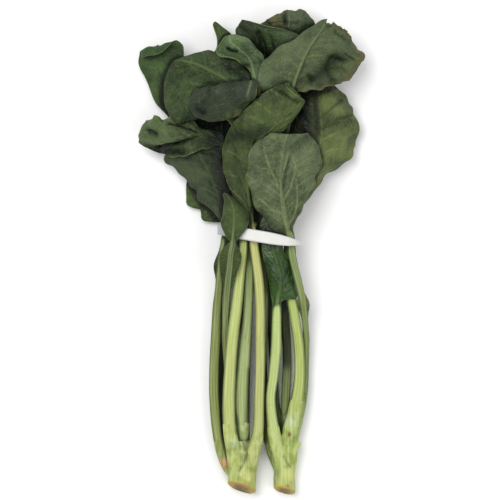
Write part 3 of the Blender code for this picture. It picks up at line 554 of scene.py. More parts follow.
@dataclass
class HeightMap:
    """The height of what lies below, cell by cell, in millimetres."""

    cell: float = 1.5
    half_x: float = 130.0
    half_y: float = 260.0
    slope: float = 0.5
    reach_cells: int = 36
    blur_cells: int = 2
    clearance: float = 0.7
    sunk_rounds: int = 12
    sunk_from: float = 1.2
    sunk_full: float = 9.0
    top: Array = field(init=False)

    def __post_init__(self) -> None:
        """Start with the bare table."""
        self.top = np.zeros((int(2 * self.half_x / self.cell), int(2 * self.half_y / self.cell)))

    def cells(self, points: Array) -> tuple[Array, Array]:
        """Return the cell of each point."""
        x = np.clip(((points[:, 0] + self.half_x) / self.cell).astype(int), 0, self.top.shape[0] - 1)
        y = np.clip(((points[:, 1] + self.half_y) / self.cell).astype(int), 0, self.top.shape[1] - 1)
        return x, y

    def add(self, points: Array) -> None:
        """Raise the map to the points."""
        np.maximum.at(self.top, self.cells(points), points[:, 2])

    def needed(self, points: Array, from_y: float) -> Array:
        """Return how far the points have to rise in each cell to clear what lies below, beyond from_y."""
        low = np.full(self.top.shape, np.inf)
        np.minimum.at(low, self.cells(points), points[:, 2])
        clearance = np.where(self.top > 0.0, self.clearance, 0.0)
        need = np.where(np.isfinite(low), self.top + clearance - low, 0.0)
        row_y = (np.arange(self.top.shape[1]) + 0.5) * self.cell - self.half_y
        return np.clip(need, 0.0, None) * (row_y > from_y)[None, :]

    @staticmethod
    def block(heights: Array, slope: float = 0.0) -> list[Array]:
        """Return the field moved by each step of a block of nine cells, with its edge held.

        Args:
            heights: The field.
            slope: How much lower it gets for each cell that it is moved.
        """
        padded = np.pad(heights, 1, mode="edge")
        columns, rows = heights.shape
        return [padded[1 + dx : 1 + dx + columns, 1 + dy : 1 + dy + rows] - slope * math.hypot(dx, dy)
                for dx, dy in CELL_BLOCK]

    def spread(self, need: Array) -> Array:
        """Turn the needed rise into a smooth field, nowhere lower: widened, sloped down and blurred."""
        rise = need
        for _ in range(self.blur_cells + 1):
            rise = np.max(self.block(rise), axis=0)
        for _ in range(self.reach_cells):
            rise = np.max(self.block(rise, self.slope * self.cell), axis=0)
        for _ in range(self.blur_cells):
            rise = np.mean(self.block(rise), axis=0)
        return rise

    def sunk(self, points: Array, facing: Array) -> Array:
        """Return how deep each point lies below the even top of all pieces round it, from 0 to 1, as the
        strength of painted shade there.

        Args:
            points: Points in millimetres.
            facing: The upward share of each point's normal. Faces turned down don't count as sunk.
        """
        even = self.top
        for _ in range(self.sunk_rounds):
            even = np.mean(self.block(even), axis=0)
        deep = self.read(even, points[:, 0], points[:, 1]) - points[:, 2] - self.sunk_from
        return np.clip(deep / self.sunk_full, 0.0, 1.0) * ease(facing, -0.1, 0.3)

    def read(self, rise: Array, x: Array, y: Array) -> Array:
        """Read the field between its cells' centres."""
        gx = np.clip((x + self.half_x) / self.cell - 0.5, 0, rise.shape[0] - 1.001)
        gy = np.clip((y + self.half_y) / self.cell - 0.5, 0, rise.shape[1] - 1.001)
        ix, iy = gx.astype(int), gy.astype(int)
        fx, fy = gx - ix, gy - iy
        near = rise[ix, iy] * (1 - fx) + rise[ix + 1, iy] * fx
        far = rise[ix, iy + 1] * (1 - fx) + rise[ix + 1, iy + 1] * fx
        return near * (1 - fy) + far * fy


def surface_normals(surface: Array) -> Array:
    """Return a grid surface's upward normals: across times along. The tip's ring takes the one before."""
    normal = unit(np.cross(np.gradient(surface, axis=1), np.gradient(surface, axis=0)))
    normal[-1] = normal[-2]
    beside = np.pad(normal, ((0, 0), (1, 1), (0, 0)), mode="edge")
    return unit(beside[:, :-2] + 2.0 * normal + beside[:, 2:])


def halved(quads: Array) -> Array:
    """Split quads into triangles."""
    return np.concatenate([quads[:, [0, 1, 2]], quads[:, [0, 2, 3]]])


def closed_sheet(upper: Array, lower: Array) -> tuple[Array, Array]:
    """Close two grids of points into one shell of quads, turned outwards."""
    rings, columns = upper.shape[:2]
    vertices = np.concatenate([upper.reshape(-1, 3), lower.reshape(-1, 3)])
    shift = rings * columns
    index = np.arange(shift).reshape(rings, columns)
    below = index + shift
    a, b = index[:-1, :-1].ravel(), index[:-1, 1:].ravel()
    c, d = index[1:, 1:].ravel(), index[1:, :-1].ravel()
    faces = [np.stack([a, b, c, d], 1), np.stack([d, c, b, a], 1) + shift]
    for top, low, turn in (
        (index[:, 0], below[:, 0], False),
        (index[:, -1], below[:, -1], True),
        (index[0, :], below[0, :], True),
        (index[-1, :], below[-1, :], False),
    ):
        strip = np.stack([top[:-1], top[1:], low[1:], low[:-1]], 1)
        faces.append(strip[:, ::-1] if turn else strip)
    return vertices, np.concatenate(faces)


@dataclass
class Leaf:
    """One leaf: its stem, midrib and blade in one closed sheet.

    The fields after the pattern are alike in all leaves. Sizes are in millimetres. midrib_line holds the
    line's least width, how much wider it is for each millimetre of rib, and how much it has faded at the
    tip. A set vein ends at vein_end of the half blade, forward as the vein_bend power of the share
    crossed, and vein_thinning and vein_fading say how it gets thinner and fainter on its way.
    drawn_strength holds how strong a drawn vein is for each millimetre of width, what is added, and the
    most. crinkle, fine_crinkle and frill_bend hold how much there is and how long its patches are.
    """

    pattern: LeafPattern
    columns: int = 81
    stem_step: float = 4.0
    blade_step: float = 1.5
    root_step: float = 2.0
    root_sink: float = 1.8
    root_sink_length: float = 14.0
    thinnest_rib: float = 0.5
    rib_column: float = 0.22
    rib_crowding: float = 1.8
    stem_end: float = 0.15
    blade_thickness: float = 0.8
    rib_side_drop: float = 0.35
    stem_roundness: float = 0.65
    groove: float = 0.06
    groove_size: tuple[float, float] = (40.0, 1.4)
    ridge: float = 0.5
    full_ruffle_width: float = 25.0
    side_phase: float = 1.9
    midrib_line: tuple[float, float, float] = (0.4, 0.33, 0.6)
    rib_edge: float = 0.8
    vein_end: float = 0.9
    vein_bend: float = 0.85
    vein_thinning: tuple[float, float] = (1.15, 0.75)
    vein_fading: float = 0.55
    drawn_fade: float = 10.0
    drawn_strength: tuple[float, float, float] = (0.7, 0.05, 0.9)
    pillow_share: float = 0.22
    crinkle: tuple[float, float] = (1.1, 21.0)
    fine_crinkle: tuple[float, float] = (0.5, 8.0)
    frill_length: float = 17.0
    frill_bend: tuple[float, float] = (2.2, 26.0)
    halves_apart: float = 40.0
    notch_length: float = 5.0
    pale_midrib: tuple[float, float, float] = (0.8, 0.75, 0.35)
    lift_rounds: int = 4
    lift_fade: float = 16.0
    uv_size: float = 100.0

    def section(self) -> tuple[Array, Array]:
        """Return each column's share of the rib's radius and of the free blade beyond it, from -1 to 1."""
        column = np.linspace(-1.0, 1.0, self.columns)
        size = np.abs(column)
        rib = np.sign(column) * (1.0 - (1.0 - size) ** self.rib_crowding)
        blade = np.sign(column) * np.clip((size - self.rib_column) / (1.0 - self.rib_column), 0.0, 1.0)
        return rib, blade

    def places(self, knots: Array, blade_start: float, high: float | None) -> Array:
        """Return the rings' places along the leaf, from its root to high, or to its tip for None."""
        if high is not None:
            return np.linspace(knots[0], high, int((high - knots[0]) / self.root_step))
        stem_rings = int((blade_start - knots[0]) / self.stem_step)
        blade_rings = int((knots[-1] - blade_start) / self.blade_step)
        return np.concatenate([
            np.linspace(knots[0], blade_start, stem_rings, endpoint=False),
            np.linspace(blade_start, knots[-1], blade_rings + 1)])

    def grid(self, high: float | None = None, grow: float = 0.0) -> Grid:
        """Work out the middle surface between two places along the leaf.

        Each ring is the smooth curve through its five points, read at the share v of the half width.

        Args:
            high: Where to end, in millimetres along the leaf, or None for its tip.
            grow: How much thicker than the stem the result is at its root. It sinks in the stem at its end.
        """
        leaf = self.pattern
        knots, rows = leaf.stations()
        blade_start = leaf.blade_start(knots)
        place = self.places(knots, blade_start, high)
        read = smooth_curve(knots, rows, place)
        points = read[:, :15].reshape(-1, 5, 3)
        grown = grow * (1.0 - self.root_sink * ease(place, place[-1] - self.root_sink_length, place[-1]))
        radius = np.maximum(read[:, 15], self.thinnest_rib) + grown
        across = unit(points[:, 4] - points[:, 0]) * grown[:, None]
        points = points + FIVE_ACROSS * across[:, None]
        rib_share, blade_share = self.section()
        steps = np.linalg.norm(np.diff(points, axis=1), axis=2)
        half_left, half_right = steps[:, :2].sum(axis=1), steps[:, 2:].sum(axis=1)
        half = np.where(rib_share[None, :] < 0, half_left[:, None], half_right[:, None])
        reach = rib_share * radius[:, None] + blade_share * np.maximum(half - radius[:, None], 0.0)
        v = np.clip(reach / np.maximum(half, 1e-6), -1.0, 1.0)
        growth = np.clip((place - blade_start) / (knots[-1] - blade_start), 0.0, 1.0)
        surface = self.ruffled(across_curve(points, v), v, half, growth)
        stemness = 1.0 - ease(growth, 0.0, self.stem_end)
        return Grid(surface, reach, half, radius, growth, place, stemness)

    def ruffled(self, surface: Array, v: Array, half: Array, growth: Array) -> Array:
        """Lay a long ruffle on the surface along its normal: a sine along the leaf times the square of v."""
        leaf = self.pattern
        swell = np.sqrt(np.sin(math.pi * growth))
        turn = np.where(v < 0, leaf.phase, leaf.phase + self.side_phase)
        wave = np.sin(2 * math.pi * leaf.waves * growth[:, None] + turn)
        room = np.clip(half / self.full_ruffle_width, 0.0, 1.0)
        height = np.where(v < 0, leaf.ruffle, leaf.ruffle if leaf.ruffle_right is None else leaf.ruffle_right)
        rise = height * swell[:, None] * wave * room * v**2
        return surface + surface_normals(surface) * rise[..., None]

    def vein_field(self, grid: Grid) -> tuple[Array, Array]:
        """Return how strongly each point lies on a vein, and its distance from the nearest side vein.

        The set veins come first. Drawn veins come on top, and each fades over its last millimetres.
        """
        leaf = self.pattern
        length = float(grid.place[-1] - grid.place[np.argmax(grid.growth > 0)])
        away_mid = np.abs(grid.reach)
        side_here = np.sign(grid.reach)
        growth, radius = grid.growth[:, None], grid.radius[:, None]
        thin, widening, fading = self.midrib_line
        on_midrib = np.exp(-((away_mid / (thin + widening * radius)) ** 2))
        strength = leaf.midrib * on_midrib * (1.0 - fading * growth)
        nearest = np.maximum(away_mid - self.rib_edge * radius, 0.0)
        crossed = np.clip(away_mid / np.maximum(grid.half, 1e-6) / self.vein_end, 0.0, 1.5)
        within = np.clip(crossed, 0.0, 1.0)
        wide = np.maximum(grid.half * self.vein_end, 1.0)
        past = np.maximum(crossed - 1.0, 0.0) * wide
        for start, end, side, width in leaf.side_veins():
            line = start + (end - start) * crossed**self.vein_bend
            slant = wide / np.hypot(wide, (end - start) * length)
            away = np.abs(growth - line) * length * slant
            away = np.where(side_here == side, np.hypot(away, past), np.inf)
            thin = width * (self.vein_thinning[0] - self.vein_thinning[1] * within)
            faded = leaf.side_vein * (1.0 - self.vein_fading * within)
            strength = np.maximum(strength, np.exp(-((away / thin) ** 2)) * faded)
            nearest = np.minimum(nearest, away)
        by_width, least, most = self.drawn_strength
        for width, line in leaf.veins:
            away = line_distance(grid.surface, line)
            to_end = np.linalg.norm(grid.surface[..., :2] - to_frame([(*line[-1], 0.0)])[0, :2], axis=-1)
            drawn = np.exp(-((away / width) ** 2)) * np.clip(to_end / self.drawn_fade, 0.1, 1.0)
            strength = np.maximum(strength, drawn * np.minimum(by_width * width + least, most))
            nearest = np.minimum(nearest, away)
        return strength * ease(grid.growth, 0.0, 0.04)[:, None], nearest

    def fold_field(self, grid: Grid) -> tuple[Array, Array]:
        """Return the height of the drawn folds at each point, and the strength of their painted shade there.
        """
        rise = np.zeros_like(grid.reach)
        dark = np.zeros_like(grid.reach)
        for height, width, shade, line in self.pattern.folds:
            near = np.exp(-((line_distance(grid.surface, line) / width) ** 2))
            rise = rise + height * near
            dark = np.maximum(dark, near * shade)
        return rise, dark

    def relief(self, grid: Grid, v: Array, along: Array, nearest: Array) -> Array:
        """Return the height of the puckers between the veins, the crinkles and the margin's frill."""
        leaf = self.pattern
        left = grid.reach < 0
        frill, crumple = np.where(left, *leaf.frill), np.where(left, *leaf.crumple)
        up = -1.0 if leaf.face is Face.UNDER else 1.0
        pillow = 1.0 - np.exp(-((nearest / (self.pillow_share * leaf.vein_gap)) ** 2))
        rise = up * leaf.pucker * pillow * (1.0 - 0.5 * v)
        (coarse, coarse_size), (fine, fine_size) = self.crinkle, self.fine_crinkle
        rise = rise + crumple * (0.3 + 0.7 * v) * (
            coarse * patchy(along, grid.reach, coarse_size, leaf.seed)
            + fine * patchy(along, grid.reach, fine_size, leaf.seed + 1))
        bend, bend_length = self.frill_bend
        bend = bend * patchy(along, np.sign(grid.reach) * self.halves_apart, bend_length, leaf.seed + 2)
        return rise + frill * v**6 * np.sin(2 * math.pi * along / self.frill_length + bend)

    def dressed(self, grid: Grid) -> tuple[Array, Array, Array]:
        """Add the fine forms to the middle surface: its relief, its folds and its notched margin.

        Returns:
            The surface, the strength of its veins and the strength of the painted shade along its folds.
        """
        leaf = self.pattern
        vein, nearest = self.vein_field(grid)
        folded, dark = self.fold_field(grid)
        v = np.clip(np.abs(grid.reach) / np.maximum(grid.half, 1e-6), 0.0, 1.0)
        along = np.broadcast_to(grid.place[:, None], v.shape)
        inner = (1.0 - grid.stemness)[:, None] * np.clip(grid.half / self.full_ruffle_width, 0.0, 1.0)
        tip = 1.0 - ease(grid.growth, 0.9, 1.0)[:, None]
        rise = self.relief(grid, v, along, nearest) * inner * tip + folded * inner**0.3
        surface = grid.surface + surface_normals(grid.surface) * rise[..., None]
        notch = np.maximum(patchy(along, grid.reach, self.notch_length, leaf.seed + 3) + 0.5, 0.0)
        ragged = np.where(grid.reach < 0, *leaf.ragged)
        across = unit(np.gradient(grid.surface, axis=1)) * np.sign(grid.reach)[..., None]
        surface = surface - across * (ragged * notch * ease(v, 0.8, 1.0) * inner)[..., None]
        back = unit(np.gradient(grid.surface, axis=0))
        at_tip = ease(np.broadcast_to(grid.growth[:, None], v.shape), 0.93, 1.0)
        return surface - back * (ragged * notch * at_tip)[..., None], vein, dark

    def skins(self, grid: Grid, surface: Array, vein: Array) -> tuple[Array, Array]:
        """Return the upper and the lower skin: half the blade's thickness, the rib and the veins' ridges.

        The rib is half an ellipse on each side. In the stem both halves are alike, and in the blade the
        rib stands out on the leaf's underside.
        """
        normal = surface_normals(surface)
        radius, stem = grid.radius[:, None], grid.stemness[:, None]
        rib = radius * np.sqrt(np.clip(1.0 - (grid.reach / radius) ** 2, 0.0, 1.0))
        # Shallow uneven grooves run along the stem.
        groove_length, groove_width = self.groove_size
        along = np.broadcast_to(grid.place[:, None] / groove_length, rib.shape)
        grooves = patchy(along, grid.reach, groove_width, self.pattern.seed + 4)
        rib = rib * (1.0 + self.groove * stem * grooves)
        wing = np.clip(radius / grid.half, 0.0, 1.0) ** 2
        middle = surface - normal * (self.rib_side_drop * radius * stem * wing)[..., None]
        made = []
        for turn, rib_share, ridge_share in zip(
                (1.0, -1.0), RIB_SHARES[self.pattern.face], RIDGE_SHARES[self.pattern.face]):
            share = self.stem_roundness * stem + rib_share * (1.0 - stem)
            height = 0.5 * self.blade_thickness + share * rib + ridge_share * (self.ridge * vein)
            made.append(middle + turn * normal * height[..., None])
        return made[0], made[1]

    def settle(self, grid: Grid, surface: Array, vein: Array, heights: HeightMap) -> tuple[Array, Array]:
        """Raise the leaf clear of what lies below, alike in all its layers, and return its skins."""
        start = SHEET_CENTRE_Y - self.pattern.lift_from_y
        for _ in range(self.lift_rounds):
            upper, lower = self.skins(grid, surface, vein)
            points = np.concatenate([lower, 0.5 * (lower[1:] + lower[:-1])]).reshape(-1, 3)
            need = heights.needed(points, start)
            if need.max() <= 0.0:
                break
            rise = heights.spread(need)
            fade = np.clip((surface[..., 1] - start + self.lift_fade) / self.lift_fade, 0.0, 1.0)
            surface = surface.copy()
            surface[..., 2] += heights.read(rise, surface[..., 0], surface[..., 1]) * fade
        upper, lower = self.skins(grid, surface, vein)
        heights.add(np.concatenate([upper, 0.5 * (upper[1:] + upper[:-1])]).reshape(-1, 3))
        return upper, lower

    def marks(self, grid: Grid) -> dict[str, Array]:
        """Return how much of each point is margin and stem, and how far up the stem it is."""
        leaf = self.pattern
        knots, rows = leaf.stations()
        joint, blade_start = leaf.joint(knots, rows), leaf.blade_start(knots)
        radius = grid.radius[:, None]
        on_rib = np.clip(2.2 - 2.0 * np.abs(grid.reach) / radius, 0.0, 1.0)
        # The stem's colour runs on in the midrib, where it is narrower and ends on the way to the tip.
        share, width, end = self.pale_midrib
        narrow = np.clip(1.0 - (grid.reach / (width * radius)) ** 2, 0.0, 1.0)
        start = 1.0 - ease(grid.growth, 0.0, 0.05)[:, None]
        pale = 1.0 - ease(grid.growth, 0.02, end)[:, None]
        to_margin = grid.half - np.abs(grid.reach)
        to_tip = (1.0 - grid.growth)[:, None] * float(knots[-1] - blade_start)
        near = np.clip(1.0 - np.minimum(to_margin, to_tip) / leaf.finish.margin_reach, 0.0, 1.0)
        return {
            "edge": near * (1.0 - grid.stemness)[:, None] * np.where(grid.reach < 0, *leaf.browned),
            "stem": np.maximum(on_rib * start, leaf.midrib * share * narrow * pale),
            "climb": np.clip((grid.place - joint) / (blade_start - joint), 0.0, 1.0)[:, None],
        }

    def build(self, heights: HeightMap) -> bpy.types.Object:
        """Build the leaf on what lies below it and dress it.

        Args:
            heights: The height of what lies below, which the leaf then raises.
        """
        leaf = self.pattern
        grid = self.grid()
        surface, vein, dark = self.dressed(grid)
        shape = closed_sheet(*self.settle(grid, surface, vein, heights))

        def both(values: Array) -> Array:
            """Repeat a grid of values for both skins."""
            return np.tile(np.broadcast_to(values, grid.reach.shape).ravel(), 2)

        marks = {**self.marks(grid), "vein": vein, "fold": dark, "spot": spot_field(surface, leaf.spots)}
        marks = {mark: both(values) for mark, values in marks.items()}
        marks["back"] = np.repeat([0.0, 1.0], grid.reach.size)
        uv = np.stack([both(grid.reach), both(grid.place[:, None])], 1) / self.uv_size
        waxy = leaf.finish.material("waxy_" + leaf.name)
        return add_piece(leaf.name + "_fresh", shape, waxy, leaf.name, uv, marks)


@dataclass(frozen=True)
class StalkFinish:
    """Cut collard stalk: smooth waxy rind, grown, with a knife-cut face that has dried a little.

    The eye sees a pale yellow-green rind with long faint fibres, dry and brown patches, painted shade in
    the seams between the roots and in dark green patches beside them, a bright rim round the cut and a
    browned pith inside it. The fibres are about 2 mm apart and run up the rind, and darker clouds of 11 mm
    lie on it.
    """

    name: str = "cut_stalk_rind"
    rind: str = "#a9b268"
    shade: str = "#39431f"
    cloud: str = "#c3cba6"
    rim: str = "#b3a344"
    flesh: str = "#b0965f"
    pith: str = "#8a6e4e"
    cloud_scale: float = 90.0
    fibre_scale: tuple[float, float, float] = (520.0, 18.0, 520.0)
    gloss: float = 0.3
    fibre_strength: float = 0.4
    fibre_height: float = 0.0005

    def cut_face(self, tree: Tree, inward: Any, blotch: Any) -> Any:
        """Return the cut's colour from its rim to its pith."""
        core = blend_colours(tree, stretch(tree, inward, 0.08, 0.25), linear(self.rim), linear(self.flesh))
        core = blend_colours(tree, stretch(tree, inward, 0.35, 0.6), core, linear(self.pith))
        return blend_colours(tree, stretch(tree, blotch, 0.4, 0.7, 0.0, 0.5), core, linear(self.flesh))

    def material(self) -> bpy.types.Material:
        """Build the stalk's material from its marks: cut face, depth from the rind, seams and rind colour."""
        made, tree, shader = new_material(self.name)
        place = add_node(tree, "ShaderNodeTexCoord").outputs["Object"]
        cut = read_mark(tree, "cut")
        blotch = add_noise(tree, place, self.cloud_scale, 3.0)
        rind, fibre = add_fibres(tree, read_mark(tree, "rind_tint", "Color"), place, self.fibre_scale)
        clouded = stretch(tree, blotch, 0.45, 0.7, 0.0, 0.7)
        rind = blend_colours(tree, clouded, rind, multiply(tree, rind, self.cloud))
        # Painted shade darkens the rind along the seams between the roots.
        rind = blend_colours(tree, read_mark(tree, "seam"), rind, linear(self.shade))
        core = self.cut_face(tree, read_mark(tree, "inward"), blotch)
        dress_shader(tree, shader, {
            "Base Color": blend_colours(tree, cut, rind, core),
            "Roughness": stretch(tree, cut, 0.0, 1.0, 0.5, 0.75),
            "IOR": SKIN_IOR,
            "Specular IOR Level": self.gloss,
        }, fibre, self.fibre_strength, self.fibre_height)
        return made


@dataclass
class Stalk:
    """One cut stalk: its butt, and the sheaths that the leaf stems grow from. Sizes are in millimetres.

    The butt's end is cut on a slant: rake is how far it leans for each millimetre up, and slant to the
    side. lobes holds the depth, number and turn of the shallow ribs round a tube.
    """

    name: str
    path: list[StemKnot]
    leaves: list[Leaf]
    finish: StalkFinish
    rake: float = 0.35
    slant: float = 0.28
    voxel: float = 0.9
    smoothing: float = 0.5
    smooth_rounds: int = 4
    sheath: float = 0.35
    crease: float = 0.8
    crease_width: float = 1.8
    seam_shade: float = 0.5
    seam_width: float = 1.1
    seam_height: tuple[float, float] = (4.0, 9.0)
    cut_depth: tuple[float, float] = (0.5, 1.5)
    root_weight: float = 2.0
    tube_rings: int = 24
    tube_sides: int = 48
    lobes: tuple[float, float, float] = (0.02, 5, 0.7)
    seams: tuple[Line, ...] = ()
    patches: tuple[Line, ...] = ()
    stubs: tuple[Line, ...] = ()

    def tube(self, rows: Any, slant: float = 0.0, rake: float = 0.0) -> tuple[Array, Array]:
        """Return a closed round tube through (x, y, z, radius) rows, with its first end cut on a slant."""
        rows = np.asarray(rows, float)
        centre = to_frame(rows[:, :3])
        knots = lengths_along(centre)
        read = smooth_curve(
            knots, np.hstack([centre, rows[:, 3:4]]), np.linspace(0.0, knots[-1], self.tube_rings))
        path, radii = read[:, :3], read[:, 3]
        along = unit(np.gradient(path, axis=0))
        sideways = unit(np.cross(along, UPWARD))
        upward = np.cross(sideways, along)
        sides = self.tube_sides
        angle = np.arange(sides) * 2 * math.pi / sides
        depth, count, turn = self.lobes
        lobes = 1.0 + depth * np.sin(count * angle + turn)
        cos, sin = np.cos(angle)[None, :, None], np.sin(angle)[None, :, None]
        ring = cos * sideways[:, None] + sin * upward[:, None]
        points = path[:, None] + ring * (radii[:, None] * lobes[None, :])[..., None]
        points[0, :, 1] += rake * (points[0, :, 2] - path[0, 2]) - slant * (points[0, :, 0] - path[0, 0])
        ring_number, side = np.meshgrid(np.arange(len(path) - 1), np.arange(sides), indexing="ij")
        a = (ring_number * sides + side).ravel()
        b = (ring_number * sides + (side + 1) % sides).ravel()
        fan = np.arange(1, sides - 1)
        last = (len(path) - 1) * sides
        foot = np.stack([np.zeros_like(fan), fan, fan + 1], 1)
        head = np.stack([np.full_like(fan, last), last + fan + 1, last + fan], 1)
        quads = np.stack([a, a + sides, b + sides, b], 1)
        return points.reshape(-1, 3), np.concatenate([halved(quads), foot, head])

    def parts(self) -> tuple[Array, Array]:
        """Return the butt, the stubs and the roots, which are a little thicker than the stems in them."""
        shapes = [self.tube(self.path, self.slant, self.rake)] + [self.tube(stub) for stub in self.stubs]
        for leaf in self.leaves:
            grid = leaf.grid(leaf.pattern.joint(*leaf.pattern.stations()), self.sheath)
            points, quads = closed_sheet(*leaf.skins(grid, grid.surface, np.zeros_like(grid.reach)))
            shapes.append((points, halved(quads)))
        starts = np.cumsum([0] + [len(points) for points, _ in shapes[:-1]])
        return (
            np.concatenate([points for points, _ in shapes]),
            np.concatenate([faces + start for (_, faces), start in zip(shapes, starts)]))

    def merged(self) -> tuple[Array, Array]:
        """Join the parts into one skin by remeshing them on voxels, smooth it and press its seams in."""
        points, triangles = self.parts()
        mesh = bpy.data.meshes.new(self.name + "_parts")
        mesh.from_pydata((points * MM).tolist(), [], triangles.tolist())
        mesh.update()
        rough = bpy.data.objects.new(self.name + "_parts", mesh)
        bpy.context.scene.collection.objects.link(rough)
        remesh = rough.modifiers.new("one_skin", "REMESH")
        remesh.mode = "VOXEL"
        remesh.voxel_size = self.voxel * MM
        smooth = rough.modifiers.new("even", "SMOOTH")
        smooth.factor = self.smoothing
        smooth.iterations = self.smooth_rounds
        bpy.context.view_layer.update()
        shown = rough.evaluated_get(bpy.context.evaluated_depsgraph_get())
        joined = bpy.data.meshes.new_from_object(shown)
        vertices = vertex_rows(joined.vertices, "co") / MM
        quads = np.array([list(polygon.vertices) for polygon in joined.polygons])
        bpy.data.objects.remove(rough)
        bpy.data.meshes.remove(joined)
        vertices[:, 2] -= self.crease * self.seam_field(vertices, self.crease_width)
        vertices[:, 2] = np.maximum(vertices[:, 2], 0.0)
        return vertices, quads

    def build(self) -> bpy.types.Object:
        """Build the stalk and mark its cut face, its seams and its rind's colours for the finish."""
        vertices, faces = self.merged()
        rows = np.asarray(self.path, float)
        cut_centre, radius = to_frame(rows[:, :3])[0], rows[0, 3]
        depth = vertices[:, 1] - cut_centre[1] - self.rake * (vertices[:, 2] - cut_centre[2])
        depth = depth + self.slant * (vertices[:, 0] - cut_centre[0])
        from_axis = np.hypot(vertices[:, 0] - cut_centre[0], vertices[:, 2] - cut_centre[2]) / radius
        marks = {
            "cut": 1.0 - ease(depth, *self.cut_depth),
            "inward": np.clip(1.0 - from_axis, 0.0, 1.0),
            "seam": self.seam_shade * self.seam_field(vertices, self.seam_width),
        }
        shape = vertices, faces
        made = add_piece(self.name + "_rind", shape, self.finish.material(), self.name, marks=marks)
        tint = made.data.attributes.new("rind_tint", "FLOAT_COLOR", "POINT")
        tint.data.foreach_set("color", self.tints(vertices).astype(np.float32).ravel())
        return made

    def seam_field(self, vertices: Array, width: float) -> Array:
        """Return how near each point of the upper side is to a seam drawn between two roots, from 0 to 1."""
        near = [np.exp(-((line_distance(vertices, line) / width) ** 2)) for line in self.seams]
        return np.max(near, axis=0) * ease(vertices[:, 2], *self.seam_height)

    def tints(self, vertices: Array) -> Array:
        """Return each point's rind colour.

        Near a root the colour is that stem's lowest one, and near the butt the rind's own. A root weighs
        exp(-root_weight (d / r)^2), with d the distance from its middle line and r its radius. Round patches
        (x, y, radius, strength, colour) drawn on the sheet come on top; the dark green ones beside the seams
        are painted shade.
        """
        sources = [(np.asarray(self.path, float), self.finish.rind)]
        sources += [(np.array([knot[:4] for knot in leaf.pattern.stem]), leaf.pattern.finish.stem_low)
                    for leaf in self.leaves]
        total = np.zeros((len(vertices), 4))
        weights = np.full(len(vertices), 1e-6)
        for knots, colour in sources:
            centre = to_frame(knots[:, :3])
            place = np.linspace(0.0, len(knots) - 1.0, 8 * len(knots))
            line = smooth_curve(np.arange(len(knots), dtype=float), np.hstack([centre, knots[:, 3:4]]), place)
            away = np.linalg.norm(vertices[:, None] - line[None, :, :3], axis=2) / line[None, :, 3]
            weight = np.exp(-self.root_weight * away.min(axis=1) ** 2)
            total += weight[:, None] * np.array(linear(colour))
            weights += weight
        colours = total / weights[:, None]
        for x, y, size, strength, colour in self.patches:
            share = spot_field(vertices, ((x, y, size, strength),))[:, None]
            colours = colours * (1.0 - share) + share * np.array(linear(colour))
        return colours


@dataclass(frozen=True)
class TieFinish:
    """Coated paper tie, die-cut from a printed roll and pressed flat.

    The eye sees a smooth white strip with soft highlights, a plain pale border, small creases, and an end
    at the left that is greyed with painted shade.
    """

    name: str = "coated_paper_tie"
    white: str = "#d3d1cc"
    border: str = "#bfc2c4"
    painted_end_shade: str = "#8f9194"
    roughness: float = 0.38
    ior: float = 1.5
    crease_scale: float = 160.0
    crease_strength: float = 0.3
    crease_height: float = 0.0008
    end_shade_from_x: float = -0.02
    end_shade_to_x: float = -0.012

    def material(self) -> bpy.types.Material:
        """Build the tie's material: white, with a pale border along its edges and painted shade on its left
        end.
        """
        made, tree, shader = new_material(self.name)
        place = add_node(tree, "ShaderNodeTexCoord").outputs["Object"]
        crease = add_noise(tree, place, self.crease_scale, 2.0)
        border = stretch(tree, read_mark(tree, "across"), 0.78, 0.84)
        paper = blend_colours(tree, border, linear(self.white), linear(self.border))
        paper = blend_colours(tree, stretch(tree, crease, 0.5, 0.8, 0.0, 0.5), paper, linear(self.border))
        # Painted shade greys the left end, which lies in the shade of the leaves.
        x = add_node(tree, "ShaderNodeSeparateXYZ", None, {0: place}).outputs["X"]
        painted_end_shade = stretch(tree, x, self.end_shade_from_x, self.end_shade_to_x, 0.8, 0.0)
        paper = blend_colours(tree, painted_end_shade, paper, linear(self.painted_end_shade))
        inputs = {"Base Color": paper, "Roughness": self.roughness, "IOR": self.ior}
        dress_shader(tree, shader, inputs, crease, self.crease_strength, self.crease_height)
        return made


